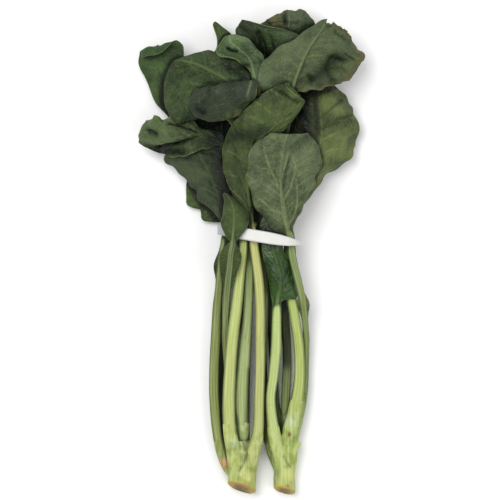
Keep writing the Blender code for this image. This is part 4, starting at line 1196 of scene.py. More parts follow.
@dataclass
class TieBand:
    """The flat tie: a superellipse loop of tape, wide in front, pinched at the right and narrow behind."""

    finish: TieFinish
    centre_x: float = 259.0
    centre_z: float = 28.5
    half_x: float = 40.5
    half_z: float = 24.5
    squareness: float = 2.8
    thickness: float = 0.8
    width_front: float = 12.0
    width_back: float = 7.0
    pinch: float = 6.5
    middle_y: float = 236.5
    slant: float = 0.17
    steps: int = 288
    ripples: tuple[Line, ...] = ((0.25, 9, 0.4), (0.2, 23))

    def surface(self) -> tuple[Array, Array, Array]:
        """Return the tape's points, faces and place across its width.

        With the angle t round the loop, x = sign(cos t) |cos t|^(2/n) a and z likewise with sin t and b.
        The section is a flat ring of sixteen points, seven along each face with rounded edges. Each
        ripple of the edges has its height and its number round the loop, and the first its turn.
        """
        angle = np.arange(self.steps) * 2 * math.pi / self.steps
        power = 2.0 / self.squareness
        cos, sin = np.cos(angle), np.sin(angle)
        front = 0.5 + 0.5 * sin
        width = self.width_back + (self.width_front - self.width_back) * front
        width = width - self.pinch * np.clip(cos, 0.0, 1.0) ** 2
        share = np.array([-0.97, -0.7, -0.35, 0.0, 0.35, 0.7, 0.97])
        across = np.concatenate([share, [1.0], share[::-1], [-1.0]])
        grow = np.concatenate([np.zeros(7), [0.5], np.ones(7), [0.5]]) * self.thickness
        (long, long_count, turn), (short, short_count) = self.ripples
        ripple = long * np.sin(long_count * angle + turn) + short * np.sin(short_count * angle)
        ripple = ripple[:, None] * (across**2)
        x = (np.sign(cos) * np.abs(cos) ** power)[:, None] * (self.half_x + grow + ripple)
        z = (np.sign(sin) * np.abs(sin) ** power)[:, None] * (self.half_z + grow + ripple)
        y = self.middle_y + self.slant * x + 0.5 * across[None, :] * width[:, None]
        points = to_frame(np.stack([x + self.centre_x, y, z + self.centre_z], 2))
        corners = len(across)
        ring, corner = np.meshgrid(np.arange(self.steps), np.arange(corners), indexing="ij")
        after, beside = (ring + 1) % self.steps, (corner + 1) % corners
        faces = np.stack([
            ring * corners + corner, ring * corners + beside,
            after * corners + beside, after * corners + corner], 2).reshape(-1, 4)
        return points.reshape(-1, 3), faces, np.tile(np.abs(across), self.steps)

    def build(self, heights: HeightMap) -> bpy.types.Object:
        """Build the tie, raise the height map to it, and dress it."""
        vertices, faces, across = self.surface()
        heights.add(vertices)
        marks = {"across": across}
        return add_piece(
            "tie_band_paper", (vertices, faces), self.finish.material(), "tie_band", marks=marks)


@dataclass
class Studio:
    """A pale floor, soft light from above and a long lens straight over the bunch.

    Sizes are in metres, apart from the sensor's width and the place on the sheet that the camera views.
    """

    frame_width: float = 0.5
    camera_height: float = 6.0
    camera_reach: float = 20.0
    sensor_width: float = 36.0
    view_x: float = 250.0
    view_y: float = 250.0
    floor_size: float = 8.0
    floor_gap: float = 0.0005
    floor_colour: str = "#f7f7f7"
    floor_roughness: float = 0.9
    air_strength: float = 0.6
    lamps: tuple[Line, ...] = (
        ("key_softbox", (-0.55, 0.6, 1.8), 1.2, 26.0),
        ("fill_softbox", (1.0, -0.5, 1.6), 1.2, 8.0),
    )

    def build(self) -> None:
        """Build the floor, the lights and the camera."""
        bpy.context.scene.view_settings.view_transform = "Standard"
        self.build_floor()
        self.build_lights()
        self.build_camera()

    def build_floor(self) -> None:
        """Build the floor that the bunch lies on."""
        bpy.ops.mesh.primitive_plane_add(size=self.floor_size, location=(0.0, 0.0, -self.floor_gap))
        floor = bpy.context.active_object
        floor.name = "studio_floor"
        paint, _, shader = new_material("matt_white_backdrop_paint")
        shader.inputs["Base Color"].default_value = linear(self.floor_colour)
        shader.inputs["Roughness"].default_value = self.floor_roughness
        floor.data.materials.append(paint)

    def build_lights(self) -> None:
        """Build the even light of the air and the lamps, each as its name, place, size and power."""
        scene = bpy.context.scene
        world = bpy.data.worlds.new("studio_air")
        world.use_nodes = True
        air = world.node_tree.nodes["Background"]
        air.inputs["Color"].default_value = linear("#ffffff")
        air.inputs["Strength"].default_value = self.air_strength
        scene.world = world
        for name, place, size, power in self.lamps:
            lamp = bpy.data.lights.new(name, "AREA")
            lamp.energy = power
            lamp.size = size
            thing = bpy.data.objects.new(name, lamp)
            thing.location = place
            thing.rotation_euler = (-Vector(place)).to_track_quat("-Z", "Y").to_euler()
            scene.collection.objects.link(thing)

    def build_camera(self) -> None:
        """Build the camera that looks straight down."""
        scene = bpy.context.scene
        lens = bpy.data.cameras.new("long_lens")
        lens.sensor_width = self.sensor_width
        lens.lens = self.sensor_width * self.camera_height / self.frame_width
        lens.clip_end = self.camera_reach
        eye = bpy.data.objects.new("camera", lens)
        spot = to_frame([self.view_x, self.view_y, 0.0]) * MM
        eye.location = (spot[0], spot[1], self.camera_height)
        scene.collection.objects.link(eye)
        scene.camera = eye


# The leaves from the lowest to the highest.
# A fold with height 0 is only a band of painted shade, and each fold's third number is how strong its painted
# shade is.
LEAVES: list[LeafPattern] = [
    LeafPattern(
        "leaf_bottom_right", "stalk_right", 408.0,
        stem=[(284, 476, 12, 6), (281, 450, 9.5, 5), (275, 400, 8, 4.4), (273, 350, 8, 4.3),
            (270, 300, 9, 4.3), (268, 260, 11, 4.3), (267, 237, 12, 4.3)],
        blade=[((263, 220, 9), (268, 217, 9), (273, 220, 9), 4.0),
            ((255, 200, 8), (272, 200, 9), (298, 205, 5), 3.4),
            ((256, 170, 5), (280, 170, 8), (322, 170, 4.4), 2.9),
            ((260, 135, 4.2), (288, 135, 8), (343, 135, 3.5), 2.5),
            ((262, 100, 4.2), (292, 100, 11), (336, 100, 4.2), 2.2),
            ((255, 65, 10), (292, 68, 18), (334, 65, 10), 1.9),
            ((256, 40, 22), (288, 42, 28), (322, 42, 20), 1.6),
            ((255, 31, 28), (289, 27, 34), (319, 30, 26), 1.2),
            ((266, 21, 31), (289, 10.5, 36), (305, 11.5, 33), 0.8)],
        # The dark stem_top colour is painted shade, where the stem lies under the leaves above.
        finish=LeafFinish("#46523c", "#2b3425", "#687853", "#515e42", "#232d17", "#5c6a34",
            margin="#5a5430", margin_reach=9.0, margin_share=0.8),
        ruffle=3.0, waves=5.0, phase=0.6, seed=3, crumple=(2.5, 2.5), ragged=(3.0, 3.0),
        folds=((-2.5, 2.0, 0.8, ((262, 22), (270, 25))), (-2.5, 2.0, 0.9, ((284, 17), (285, 25))),
            (1.5, 2.0, 0.0, ((258, 27), (280, 20), (300, 22)))),
        spots=((262, 24, 11, 0.75), (273, 21, 11, 0.75), (281, 25, 7, 0.5)),
    ),
    LeafPattern(
        "leaf_bottom_left", "stalk_left", 408.0,
        stem=[(243, 474, 13, 6), (238, 450, 9.5, 5), (232, 400, 8, 4.4), (232, 350, 8, 4.3),
            (236, 300, 9, 4.3), (241, 260, 11, 4.3), (244, 237, 12, 4.3)],
        blade=[((236, 224, 9), (240, 221, 9), (245, 223, 9), 4.0),
            ((204, 221, 8), (234, 209, 9), (254, 208, 8), 3.5),
            ((200, 210, 5), (230, 196, 9), (256, 195, 7), 3.2),
            ((187, 205, 5), (228, 183, 8), (258, 180, 6), 3.0),
            ((186, 189, 4), (226, 168, 8), (258, 164, 4), 2.8),
            ((187, 174, 4), (224, 152, 8), (258, 148, 3), 2.6),
            ((182, 146, 3), (222, 125, 9), (256, 118, 3), 2.4),
            ((180, 110, 3), (221, 95, 12), (254, 90, 5), 2.2),
            ((196, 75, 8), (221, 65, 16), (246, 60, 12), 1.8),
            ((217, 46, 16), (223, 42, 22), (234, 38, 20), 1.3),
            ((213, 25, 22), (215, 22.5, 24), (218.5, 24.5, 24), 0.8)],
        # The dark stem_top colour is painted shade, where the stem lies under the leaves above.
        finish=LeafFinish("#3e4f26", "#273317", "#5a7035", "#475929", "#232d17", "#55602f"),
        ruffle=2.5, waves=5.0, phase=2.1, seed=10, crumple=(1.2, 1.2),
    ),
    LeafPattern(
        "leaf_top_centre", "stalk_right", 408.0,
        stem=[(283, 474, 12, 6), (274, 450, 9.5, 5), (265, 400, 7.5, 4.2), (262, 350, 10, 4.2),
            (259, 300, 15, 4.2), (256, 260, 20, 4.2), (255, 237, 22, 4.2), (258, 200, 25, 4.0),
            (264, 160, 28, 3.8), (268, 120, 32, 3.6), (268, 90, 35, 3.4)],
        blade=[((263, 74, 38), (267, 72, 37), (271, 74, 38), 3.0),
            ((247, 63, 41), (256, 62, 40), (267, 60, 34), (276, 60, 43), (285, 61, 43), 2.6),
            ((238, 48, 42), (251, 50, 42), (264, 49, 33), (279, 47, 46), (296, 50, 44), 2.2),
            ((236, 34, 41), (248, 37, 43), (261, 38, 35), (278, 35, 47), (298, 39, 44), 1.8),
            ((238, 27, 38), (256, 31, 38), (284, 31, 44), 1.3),
            ((242, 21, 37), (250, 22.5, 38), (262, 26.5, 41), 0.8)],
        # The dark stem_top colour is painted shade, where the stem lies under the leaves above.
        finish=LeafFinish("#3a4a2e", "#232f1b", "#54693d", "#3b4b31", "#2a351b", "#66733c"),
        ruffle=1.5, waves=3.0, phase=0.0, seed=17, midrib=0.2, side_vein=0.2, frill=(0.5, 0.5),
        folds=((-2.5, 2.2, 0.8, ((258, 34), (263, 44), (266, 60))),
            (-1.5, 1.5, 0.4, ((271, 38), (273, 52))), (0.0, 8.0, 0.6, ((243, 30), (248, 42), (252, 55))),
            (0.0, 5.0, 0.6, ((262, 62), (282, 62)))),
    ),
    LeafPattern(
        "leaf_right_low", "stalk_right", 392.0,
        stem=[(286, 478, 13, 7), (290, 458, 15, 6.8), (290, 434, 17, 8.0), (294, 414, 19, 6.8),
            (298.5, 388, 21, 5.9), (299.5, 365, 22, 5.3), (298, 340, 24, 5.2), (294.5, 317, 26, 5.1),
            (291, 295, 28, 4.8), (288.5, 265, 29, 4.3), (288, 237, 29, 4.3)],
        blade=[((287, 219, 31), (291, 216, 31), (295, 218, 31), 3.4),
            ((282, 196, 30), (300, 192, 34), (316, 188, 24), 2.8),
            ((284, 165, 29), (314, 163, 36), (348, 158, 15), 2.4),
            ((283, 135, 28), (321, 136, 38), (357, 138, 13), 2.0),
            ((285, 112, 28), (320, 115, 38), (353, 113, 15), 1.7),
            ((292, 95, 28), (318, 95, 35), (346, 98, 18), 1.4),
            ((308, 82, 28), (318, 80, 30), (330, 83, 25), 0.9)],
        finish=LeafFinish("#636d3e", "#2c371d", "#78864f", "#515c38", "#9eae5c", "#a9b666"),
        ruffle=2.5, waves=4.0, phase=1.0, seed=24,
        veins=((0.8, ((322, 128), (336, 122), (350, 118))), (0.8, ((320, 142), (330, 136), (344, 131))),
            (0.7, ((317, 156), (332, 150), (346, 148))), (0.6, ((321, 118), (308, 108), (300, 100)))),
        folds=((-1.8, 2.2, 0.6, ((322, 129), (338, 121), (352, 115))),
            (-1.5, 1.5, 0.5, ((321, 119), (330, 110), (341, 101))),
            (0.0, 13.0, 1.0, ((302, 94), (304, 115), (305, 132))),
            (0.0, 6.0, 0.9, ((314, 94), (316, 134)))),
        spots=((294, 312, 1.2, 0.9), (296, 334, 1.2, 0.7)),
    ),
    LeafPattern(
        "leaf_left_outer", "stalk_left", 408.0,
        stem=[(241, 474, 12, 6), (230, 448, 9.5, 5), (220, 400, 8, 4.2), (221, 350, 8, 4.2),
            (225, 300, 11, 4.2), (229, 260, 15, 4.2), (231, 237, 17, 4.2), (226, 212, 17, 4.0),
            (212, 180, 15, 3.8), (193, 150, 13, 3.6), (178, 128, 12, 3.4)],
        blade=[((168, 117, 12), (172, 115, 12), (176, 114, 13), 2.6),
            ((156, 103, 8), (166, 98, 13), (179, 95, 20), 2.0),
            ((146, 80, 9), (160, 80, 15), (183, 76, 26), 1.6),
            ((139, 63, 12), (156, 62, 19), (184, 61, 28), 1.3),
            ((140, 53, 18), (148, 49, 22), (158, 48, 24), (171, 47, 26), (184, 47, 27), 1.1),
            ((141, 52, 25), (149, 48.5, 29), (158, 48, 30.5), (167, 44, 30), (177, 41, 28), 1.0),
            ((142, 59, 29), (150, 57, 33), (158, 56, 34), (164, 52, 35), (171, 45, 33), 0.9)],
        # The dark stem_top colour is painted shade, where the stem lies under the leaves above.
        finish=LeafFinish("#41572f", "#28371c", "#5b743b", "#2b4123", "#2a351b", "#55602f"),
        ruffle=2.0, waves=3.0, phase=2.6, seed=31, midrib=0.1, side_vein=0.15, frill=(0.3, 0.3),
        crumple=(0.6, 0.6),
        folds=((0.0, 7.0, 0.85, ((174, 74), (168, 90), (164, 108))),
            (0.0, 8.0, 0.35, ((175, 47), (175, 60)))),
    ),
    LeafPattern(
        "leaf_low_left", "stalk_left", 432.0,
        stem=[(240, 478, 14, 6), (228, 466, 14, 5.6), (219, 440, 15, 5.2), (214.5, 400, 16, 5.0),
            (214.5, 365, 18, 5.0), (216, 336, 20, 5.0), (217.5, 307, 22, 4.7), (220, 281, 25, 4.3),
            (221.5, 266, 26.5, 4.3, 3.5), (223.5, 250, 28, 4.2), (226, 236, 29, 4.2)],
        blade=[((223, 225, 31), (227, 222, 33), (231, 221, 34), 3.2),
            ((211, 209, 24), (222, 205, 36), (236, 204, 38), 2.6),
            ((198, 196, 18), (216, 189, 39), (232, 186, 41), 2.2),
            ((188, 179, 15), (208, 170, 40), (228, 166, 43), 1.9),
            ((174, 169, 15), (200, 156, 39), (226, 148, 44), 1.6),
            ((165, 157, 18), (191, 146, 37), (222, 134, 43), 1.3),
            ((175, 147, 24), (190, 139, 33), (208, 130, 38), 0.9)],
        finish=LeafFinish("#3b472b", "#242e1c", "#52633b", "#3f4d2d", "#6c773e", "#868f4e"),
        ruffle=2.0, waves=3.5, phase=0.4, seed=38, midrib=0.6,
        veins=((0.7, ((212, 178), (200, 172), (190, 170))), (0.7, ((219, 197), (208, 190), (198, 188)))),
        folds=((-2.0, 1.5, 0.8, ((186, 154), (200, 152), (214, 158))),
            (0.0, 12.0, 1.0, ((216, 145), (223, 170), (229, 195), (237, 210))),
            (0.0, 13.0, 1.0, ((203, 140), (214, 136), (228, 138))),
            (0.0, 9.0, 0.9, ((222, 150), (236, 156)))),
    ),
    LeafPattern(
        "leaf_left_crumpled", "stalk_left", 408.0,
        stem=[(243, 476, 13, 6), (243, 450, 10, 5), (244, 400, 8.6, 4.2), (245, 350, 11, 4.2),
            (243, 300, 18, 4.2), (239.5, 260, 26, 4.2), (239, 237, 30, 4.2), (241, 210, 38, 3.8),
            (242, 180, 43, 3.4), (238, 157, 46, 3.0)],
        blade=[((221, 147, 48), (219.5, 143, 49), (218, 139, 49), 2.6),
            ((207, 149, 42), (206, 139, 50), (205, 130, 47), 2.2),
            ((194, 155, 36), (193, 143, 40), (193, 138, 49), (193, 131, 50), (193, 125, 44), 1.8),
            ((180, 159, 29), (178, 146, 33), (178, 141.5, 46), (178, 131, 49), (178, 121, 42), 1.5),
            ((165, 156, 24), (163, 147, 27), (163, 143, 42), (163, 129, 46), (163, 117, 38), 1.2),
            ((152, 151, 21), (150, 144, 24), (150, 140, 35), (150, 128, 40), (154, 118, 34), 1.0),
            ((138.5, 143, 20), (137.5, 140, 23), (139, 135, 29), (142, 128, 33), (146, 121, 30), 0.8)],
        finish=LeafFinish("#4e6038", "#2e3920", "#697c4b", "#576439", "#3a4726", "#6d7a42",
            margin_reach=6.0),
        ruffle=4.0, waves=4.5, phase=1.2, seed=45, midrib=0.15, side_vein=0.3, vein_gap=9.0,
        crumple=(1.6, 1.6), ragged=(1.5, 1.5),
        folds=((-3.0, 1.4, 1.0, ((168, 124), (182, 127), (197, 133))),
            (-4.0, 3.0, 1.0, ((149, 132), (156, 135))),
            (-4.0, 1.6, 1.0, ((158, 147), (178, 144), (198, 138))),
            (1.8, 1.3, 0.0, ((147, 140), (163, 143))),
            (0.0, 5.0, 1.0, ((140, 148), (158, 152), (184, 153))),
            (1.5, 1.5, 0.0, ((160, 141), (194, 135))), (0.0, 12.0, 1.0, ((206, 126), (236, 130))),
            (0.0, 11.0, 1.0, ((209, 141), (222, 142), (238, 146)))),
    ),
    LeafPattern(
        "leaf_big_left", "stalk_left", 415.0,
        stem=[(243, 476, 13, 6), (243, 452, 15, 6.2), (242.5, 430, 18.5, 7.0), (242, 400, 22.5, 7.6),
            (243, 374, 24, 7.0), (245, 346, 25, 6.2), (247, 326, 26, 5.2), (248.5, 298, 28, 4.8),
            (249.5, 272, 30, 4.4), (249.5, 250, 31.5, 4.4), (249, 237, 32, 4.4), (247, 210, 38, 4.2),
            (246, 170, 44, 4.0), (248, 135, 50, 3.8)],
        blade=[((241, 112, 53), (247, 110, 54), (253, 108, 55), 3.0),
            ((224, 115, 49), (239, 96, 57), (257, 90, 57), 2.4),
            ((203, 119, 42), (228, 83, 59), (250, 71, 57), 1.9),
            ((180, 124, 31), (211, 73, 56), (231, 60, 55), 1.6),
            ((166.5, 111, 25), (194, 65, 51), (212, 54, 50), 1.3),
            ((165, 86, 26), (181, 62, 45), (196, 57, 45), 1.1),
            ((169, 70, 31), (175, 62, 39), (182, 60, 41), 0.8)],
        finish=LeafFinish("#324222", "#1f2b15", "#5c743c", "#394826", "#768850", "#a6b57a"),
        ruffle=1.5, waves=3.5, phase=0.2, seed=52, side_vein=0.25, frill=(0.5, 0.5),
        veins=((0.8, ((222, 88), (203, 86), (192, 85), (182, 80))),
            (0.6, ((200, 92), (186, 94), (174, 96)))),
        folds=((-2.0, 3.0, 0.6, ((228, 72), (244, 78))),
            (0.0, 5.0, 0.85, ((224, 67), (238, 70), (250, 72))),
            (0.0, 8.0, 0.8, ((188, 124), (203, 119), (216, 116))),
            (0.0, 3.5, 0.75, ((250, 370), (248.5, 400), (247, 432)))),
        spots=((245, 337, 1.6, 0.8), (249, 341, 1.4, 0.6)),
    ),
    LeafPattern(
        "leaf_hollow", "stalk_right", 408.0,
        stem=[(283, 476, 13, 6), (271, 448, 14, 5), (261, 400, 17.5, 4.2), (263, 350, 22, 4.2),
            (264, 300, 26, 4.2), (263.5, 260, 29.5, 4.2), (263, 237, 31, 4.2), (264, 200, 36, 4.0),
            (264, 160, 42, 3.8), (263, 120, 48, 3.4), (261, 98, 52, 3.0)],
        blade=[((253, 84, 57), (257, 84, 57), (261, 84, 58), 2.2),
            ((250, 73, 60), (254, 74, 59), (264, 74, 61), 1.8),
            ((238, 64, 67), (242, 61, 59), (249, 60, 56), (257, 59, 61), (264, 62, 62), 1.5),
            ((226, 61, 67), (230, 55, 57), (239, 51, 55), (248, 48, 60), (257, 50, 60), 1.2),
            ((216, 54, 64), (221, 48, 58), (231, 44, 56), (239, 41, 59), (247, 41, 57), 1.0),
            ((224, 40, 58), (229, 37, 56), (236, 36.5, 56), 0.8)],
        # The dark stem_top colour is painted shade, where the stem lies under the leaves above.
        finish=LeafFinish("#526642", "#34432b", "#768b5d", "#536241", "#2a351b", "#66733c"),
        ruffle=1.5, waves=3.0, phase=1.8, seed=59, midrib=0.9, side_vein=0.25, frill=(0.3, 0.3),
        folds=((-3.0, 1.4, 1.0, ((228, 50), (232, 52), (237, 53))), (0.0, 4.0, 0.6, ((262, 62), (260, 76))),
            (0.0, 2.5, 0.9, ((226, 66), (236, 68), (248, 67))),
            (1.3, 1.5, 0.0, ((217, 55), (226, 60), (233, 63), (241, 63), (248, 61)))),
    ),
    LeafPattern(
        "leaf_right_top", "stalk_right", 408.0,
        stem=[(284, 478, 13, 6), (285, 450, 11, 5), (285.5, 400, 10.5, 4.5), (287, 360, 12, 4.5),
            (285, 320, 15, 4.5), (281, 290, 17, 4.5), (279, 260, 19, 4.4), (278, 237, 20.5, 4.4),
            (276, 210, 30, 4.2), (278, 180, 40, 4.0), (284, 140, 47, 3.8), (289, 112, 52, 3.6)],
        blade=[((286, 97, 57), (290, 95, 57), (295, 95, 57), 2.8),
            ((258, 93, 58), (293, 85, 62), (322, 91, 56), 2.4),
            ((257, 78, 58), (277, 75, 62), (298, 72, 64), (322, 78, 60), (347, 84, 41), 2.0),
            ((265, 61, 58), (285, 57, 62), (305, 56, 64), (330, 61, 50), (361, 70, 38), 1.7),
            ((283, 47, 56), (298, 44, 60), (313, 43, 62), (337, 49, 57), (362, 52, 35), 1.4),
            ((301, 36, 54), (311, 34, 57), (321, 32, 58), (334, 33, 49), (349, 33, 41), 1.1),
            ((317, 25, 52), (326, 21, 52), (335, 26, 45), 0.8)],
        finish=LeafFinish("#4f5c3d", "#343e27", "#68774c", "#4a4f2a", "#3a4a28", "#6d7a42",
            margin="#5e5931", margin_reach=12.0, margin_share=0.85),
        ruffle=1.5, waves=4.5, phase=0.9, ruffle_right=4.5, seed=66, face=Face.UNDER, browned=(0.25, 1.0),
        crumple=(1.0, 2.8), frill=(0.6, 2.2), ragged=(0.4, 5.0),
        veins=((0.9, ((301, 60), (316, 57), (330, 57))), (0.6, ((298, 68), (286, 60), (279, 58))),
            (0.6, ((321, 42), (334, 42), (344, 40))), (0.6, ((295, 76), (283, 74), (270, 78))),
            (0.6, ((310, 50), (301, 45), (296, 44)))),
        folds=((-4.0, 2.8, 1.0, ((308, 78), (311, 84))),
            (-3.5, 3.5, 0.8, ((331, 60), (327, 70), (331, 82))),
            (0.0, 6.0, 0.85, ((340, 60), (330, 63), (322, 73), (312, 80))),
            (0.0, 4.0, 0.6, ((300, 84), (318, 86))), (-3.0, 2.2, 0.8, ((346, 56), (353, 62))),
            (2.0, 2.0, 0.0, ((336, 50), (342, 62), (338, 76))), (-2.0, 2.0, 0.5, ((336, 32), (345, 40))),
            (0.0, 5.0, 0.5, ((258, 94), (272, 92))),
            (0.0, 8.0, 0.85, ((285, 308), (287, 335), (286, 362)))),
        spots=((350, 80, 13, 0.8), (357, 62, 9, 0.7), (357, 48, 10, 0.75), (350, 34, 9, 0.75),
            (338, 87, 8, 0.6), (328, 88, 7, 0.5)),
    ),
    LeafPattern(
        "leaf_wet_small", "stalk_right", 418.0,
        stem=[(283, 478, 13, 7), (280, 457, 17, 7.8), (274.5, 436, 21, 6.4), (270.5, 400, 26, 4.9),
            (273.5, 374, 28, 5.2), (276, 346, 30, 5.4), (276.5, 317, 32, 4.8)],
        blade=[((272, 302, 34), (277, 299, 34), (282, 301, 34), 3.4),
            ((270, 288, 34), (280, 288, 38), (297, 297, 29), 3.0),
            ((269, 275, 36), (280, 275, 40), (297, 281, 29), 2.6),
            ((264, 261, 38), (277, 262, 41), (291, 265, 33), 2.4),
            ((261, 249, 40), (273, 249, 42), (284, 250, 38), 2.2),
            ((261, 237, 41), (271, 237, 42), (281, 237, 41), 2.2),
            ((260, 226, 42), (271, 224, 43), (282, 225, 43), 1.8),
            ((264, 212, 44), (270, 207, 44), (277, 211, 44), 0.8)],
        finish=LeafFinish("#2a4715", "#16290a", "#466a25", "#314d1a", "#a9bb73", "#b1bd74", roughness=0.3,
            gloss=0.5, grain=0.25),
        ruffle=1.2, waves=4.0, phase=0.5, lift_from_y=330.0, seed=73, midrib=0.2, side_vein=0.3,
        crumple=(2.0, 2.0), ragged=(1.5, 1.5), vein_gap=10.0,
        folds=((0.0, 12.0, 0.9, ((264, 212), (280, 232))),),
    ),
    LeafPattern(
        "leaf_curled_grey", "stalk_left", 415.0,
        stem=[(236, 478, 17, 6.6), (234, 455, 24, 7.0), (230, 430, 30, 6.4), (229, 400, 34, 6.4),
            (230.5, 365, 36, 6.0), (233, 336, 37, 5.8), (236.5, 307, 38.5, 5.8), (239.5, 279, 40, 5.2),
            (243, 250, 42, 4.4), (243.5, 237, 42.5, 4.2), (244, 212, 47, 4.0), (243, 180, 52, 3.8),
            (241, 150, 57, 3.6)],
        blade=[((235, 132, 60), (240, 130, 60), (245, 131, 60), 2.8),
            ((221, 115, 61), (242, 110, 63), (258, 112, 62), 2.4),
            ((207, 99, 64), (240, 93, 67), (260, 92, 65), 2.0),
            ((199, 92, 70), (236, 84, 73), (258, 84, 70), 1.6),
            ((193, 97, 70), (207, 91, 77), (230, 90, 79), (246, 88, 78), (257, 88, 74), 1.4),
            ((190, 106, 68), (204, 103, 75), (226, 102, 77), (242, 101, 76), (253, 99, 72), 1.2),
            ((197, 119, 64), (208, 115, 71), (225, 113, 73), (239, 110, 72), (249, 107, 69), 1.0),
            ((209, 123, 65), (224, 122, 68), (239, 117, 68), 0.8)],
        finish=LeafFinish("#313d29", "#1a2116", "#677655", "#293422", "#adb86d", "#b0ba70",
            margin="#77743a", margin_reach=2.5, margin_share=0.5, net=0.06),
        ruffle=1.5, waves=4.0, phase=2.4, seed=80, face=Face.UNDER, midrib=0.0, side_vein=0.12,
        frill=(0.5, 0.5), crumple=(2.2, 2.2),
        veins=((0.9, ((251, 84), (249, 90), (247, 96), (248, 104))), (0.6, ((213, 88), (211, 96)))),
        folds=((-5.0, 3.2, 1.0, ((199, 108), (204, 112))),
            (-1.8, 1.3, 0.7, ((210, 86), (209, 97), (203, 106))),
            (1.3, 1.6, 0.0, ((214, 88), (213, 100), (222, 113))), (0.0, 6.0, 0.4, ((230, 86), (236, 100)))),
        spots=((228, 117, 5, 0.4), (238, 115, 6, 0.45), (247, 108, 5, 0.5)),
    ),
    LeafPattern(
        "leaf_centre_folded", "stalk_left", 425.0,
        stem=[(246.5, 480, 16, 8.4), (250.5, 458, 21, 7.8), (257.5, 434, 27, 5.8), (259, 400, 30, 5.1),
            (260, 365, 32, 5.1), (260, 336, 35, 5.1), (260, 307, 38, 5.1), (258.5, 279, 41, 5.0),
            (254.5, 250, 43.5, 4.6), (253, 237, 44, 4.5)],
        blade=[((247, 221, 49), (251, 219, 50), (254, 220, 49), 3.2),
            ((231, 193, 47), (247.5, 198, 56), (253, 199, 48), 2.6),
            ((224, 170, 47), (246.5, 178, 60), (253, 179, 49), 2.2),
            ((222, 148, 49), (248, 160, 63), (255, 162, 51), 1.9),
            ((230, 130, 53), (255, 144, 66), (263, 148, 54), 1.7),
            ((243, 113, 58), (268, 133, 67), (276, 138, 56), 1.6),
            ((258, 99, 63), (281, 121, 67), (288, 126, 57), 1.4),
            ((274, 89, 66), (292, 109, 66), (298, 114, 59), 1.2),
            ((288, 85, 69), (299, 98, 69), (304, 103, 65), 1.0),
            ((286, 90, 75), (295, 97, 78), (301, 101, 75), 0.8)],
        finish=LeafFinish("#3b4a24", "#222d15", "#6f8041", "#2d3a1e", "#b3b26c", "#b0b670", net=0.05),
        ruffle=1.2, waves=4.0, phase=0.0, seed=87, face=Face.UNDER, midrib=0.2, side_vein=0.25,
        frill=(0.5, 0.3),
        veins=((0.65, ((228, 152), (236, 156), (247, 164))), (0.5, ((227, 173), (235, 177), (246, 178))),
            (0.65, ((229, 188), (236, 194), (247, 205))), (0.6, ((270, 91), (279, 97), (287, 106))),
            (0.5, ((246, 117), (257, 121), (269, 128))), (0.5, ((256, 104), (266, 111), (277, 119)))),
        folds=((-2.5, 2.2, 0.95, ((255, 143), (251, 161), (250, 177), (250, 195), (250, 212), (251, 230))),
            (0.0, 5.0, 0.5, ((233, 150), (238, 164))), (0.0, 5.0, 0.4, ((238, 180), (243, 192))),
            (-2.0, 1.6, 0.8, ((280, 93), (289, 99), (297, 104))),
            (0.0, 7.0, 0.65, ((227, 142), (241, 137), (263, 133)))),
        spots=((292, 96, 9, 0.6), (257, 338, 1.5, 0.7), (262, 342, 1.4, 0.6)),
    ),
    LeafPattern(
        "leaf_front_right", "stalk_right", 385.0,
        stem=[(292, 445, 16, 4), (300, 415, 15, 3.6), (304.5, 390, 14, 3.3), (305.5, 365, 14, 3.3),
            (306, 340, 17, 3.3), (304.5, 317, 22, 3.4), (303, 304, 25, 3.4, 3), (301, 293, 28, 3.6),
            (296.5, 275, 35, 3.8), (292, 255, 39.5, 3.9), (290.5, 237, 41.5, 3.9)],
        blade=[((273, 230, 44.5), (286, 228, 45), (292.5, 229, 45), 3.4),
            ((264, 218, 49), (284, 213, 52), (299, 214, 46), 3.0),
            ((253, 204, 52), (282, 199, 57), (308, 198, 45), 2.6),
            ((247, 180, 53), (279.5, 181, 61), (315, 181, 44), 2.2),
            ((247, 160, 53), (281, 163, 63), (320, 163, 43), 1.8),
            ((256, 144, 55), (283, 149, 63), (319, 148, 46), 1.4),
            ((271, 134, 58), (287, 135, 61), (307, 134, 55), 0.9)],
        finish=LeafFinish("#546043", "#38422b", "#829162", "#354228", "#6c7d48", "#748446"),
        ruffle=2.0, waves=4.0, phase=0.3, lift_from_y=300.0, seed=94, face=Face.UNDER, midrib=0.35,
        side_vein=0.15, vein_gap=8.0, frill=(0.5, 1.2),
        veins=(
            (0.7, ((287, 227), (282.5, 217), (280.6, 200), (280, 185), (282, 174), (286, 161), (288, 150))),
            (0.75, ((282.5, 201), (290, 189), (294, 176), (295, 167), (291, 156))),
            (0.65, ((288, 226), (294, 215), (296.5, 205), (297, 190), (296, 178))),
            (0.75, ((281, 214), (271, 210), (265, 204), (256, 196))),
            (0.6, ((280, 196), (270, 189), (257, 182))),
            (0.7, ((278, 190), (275.5, 181), (270.5, 171), (265, 156), (263, 150))),
            (0.5, ((270, 171), (258, 168), (249, 168))), (0.5, ((296, 167), (305, 161), (315, 157))),
            (0.5, ((297, 177), (306, 171), (316, 167))), (0.5, ((297, 187), (306, 180), (316, 175))),
            (0.5, ((297, 197), (305, 191), (314, 186))), (0.5, ((296, 207), (303, 202), (310, 197)))),
        folds=((0.0, 4.5, 0.6, ((262, 214), (272, 226), (280, 232))),
            (-1.2, 1.5, 0.6, ((284, 187), (286, 172), (290, 158))),
            (0.0, 5.0, 0.45, ((291, 150), (298, 144), (305, 140)))),
        spots=((306.5, 302, 7, 0.75),),
    ),
    LeafPattern(
        "leaf_over_band", "stalk_left", 415.0,
        stem=[(242, 474, 16, 5), (235.5, 448, 16.5, 4.4), (229.4, 400, 18.5, 4.2), (228, 365, 24.5, 4.2),
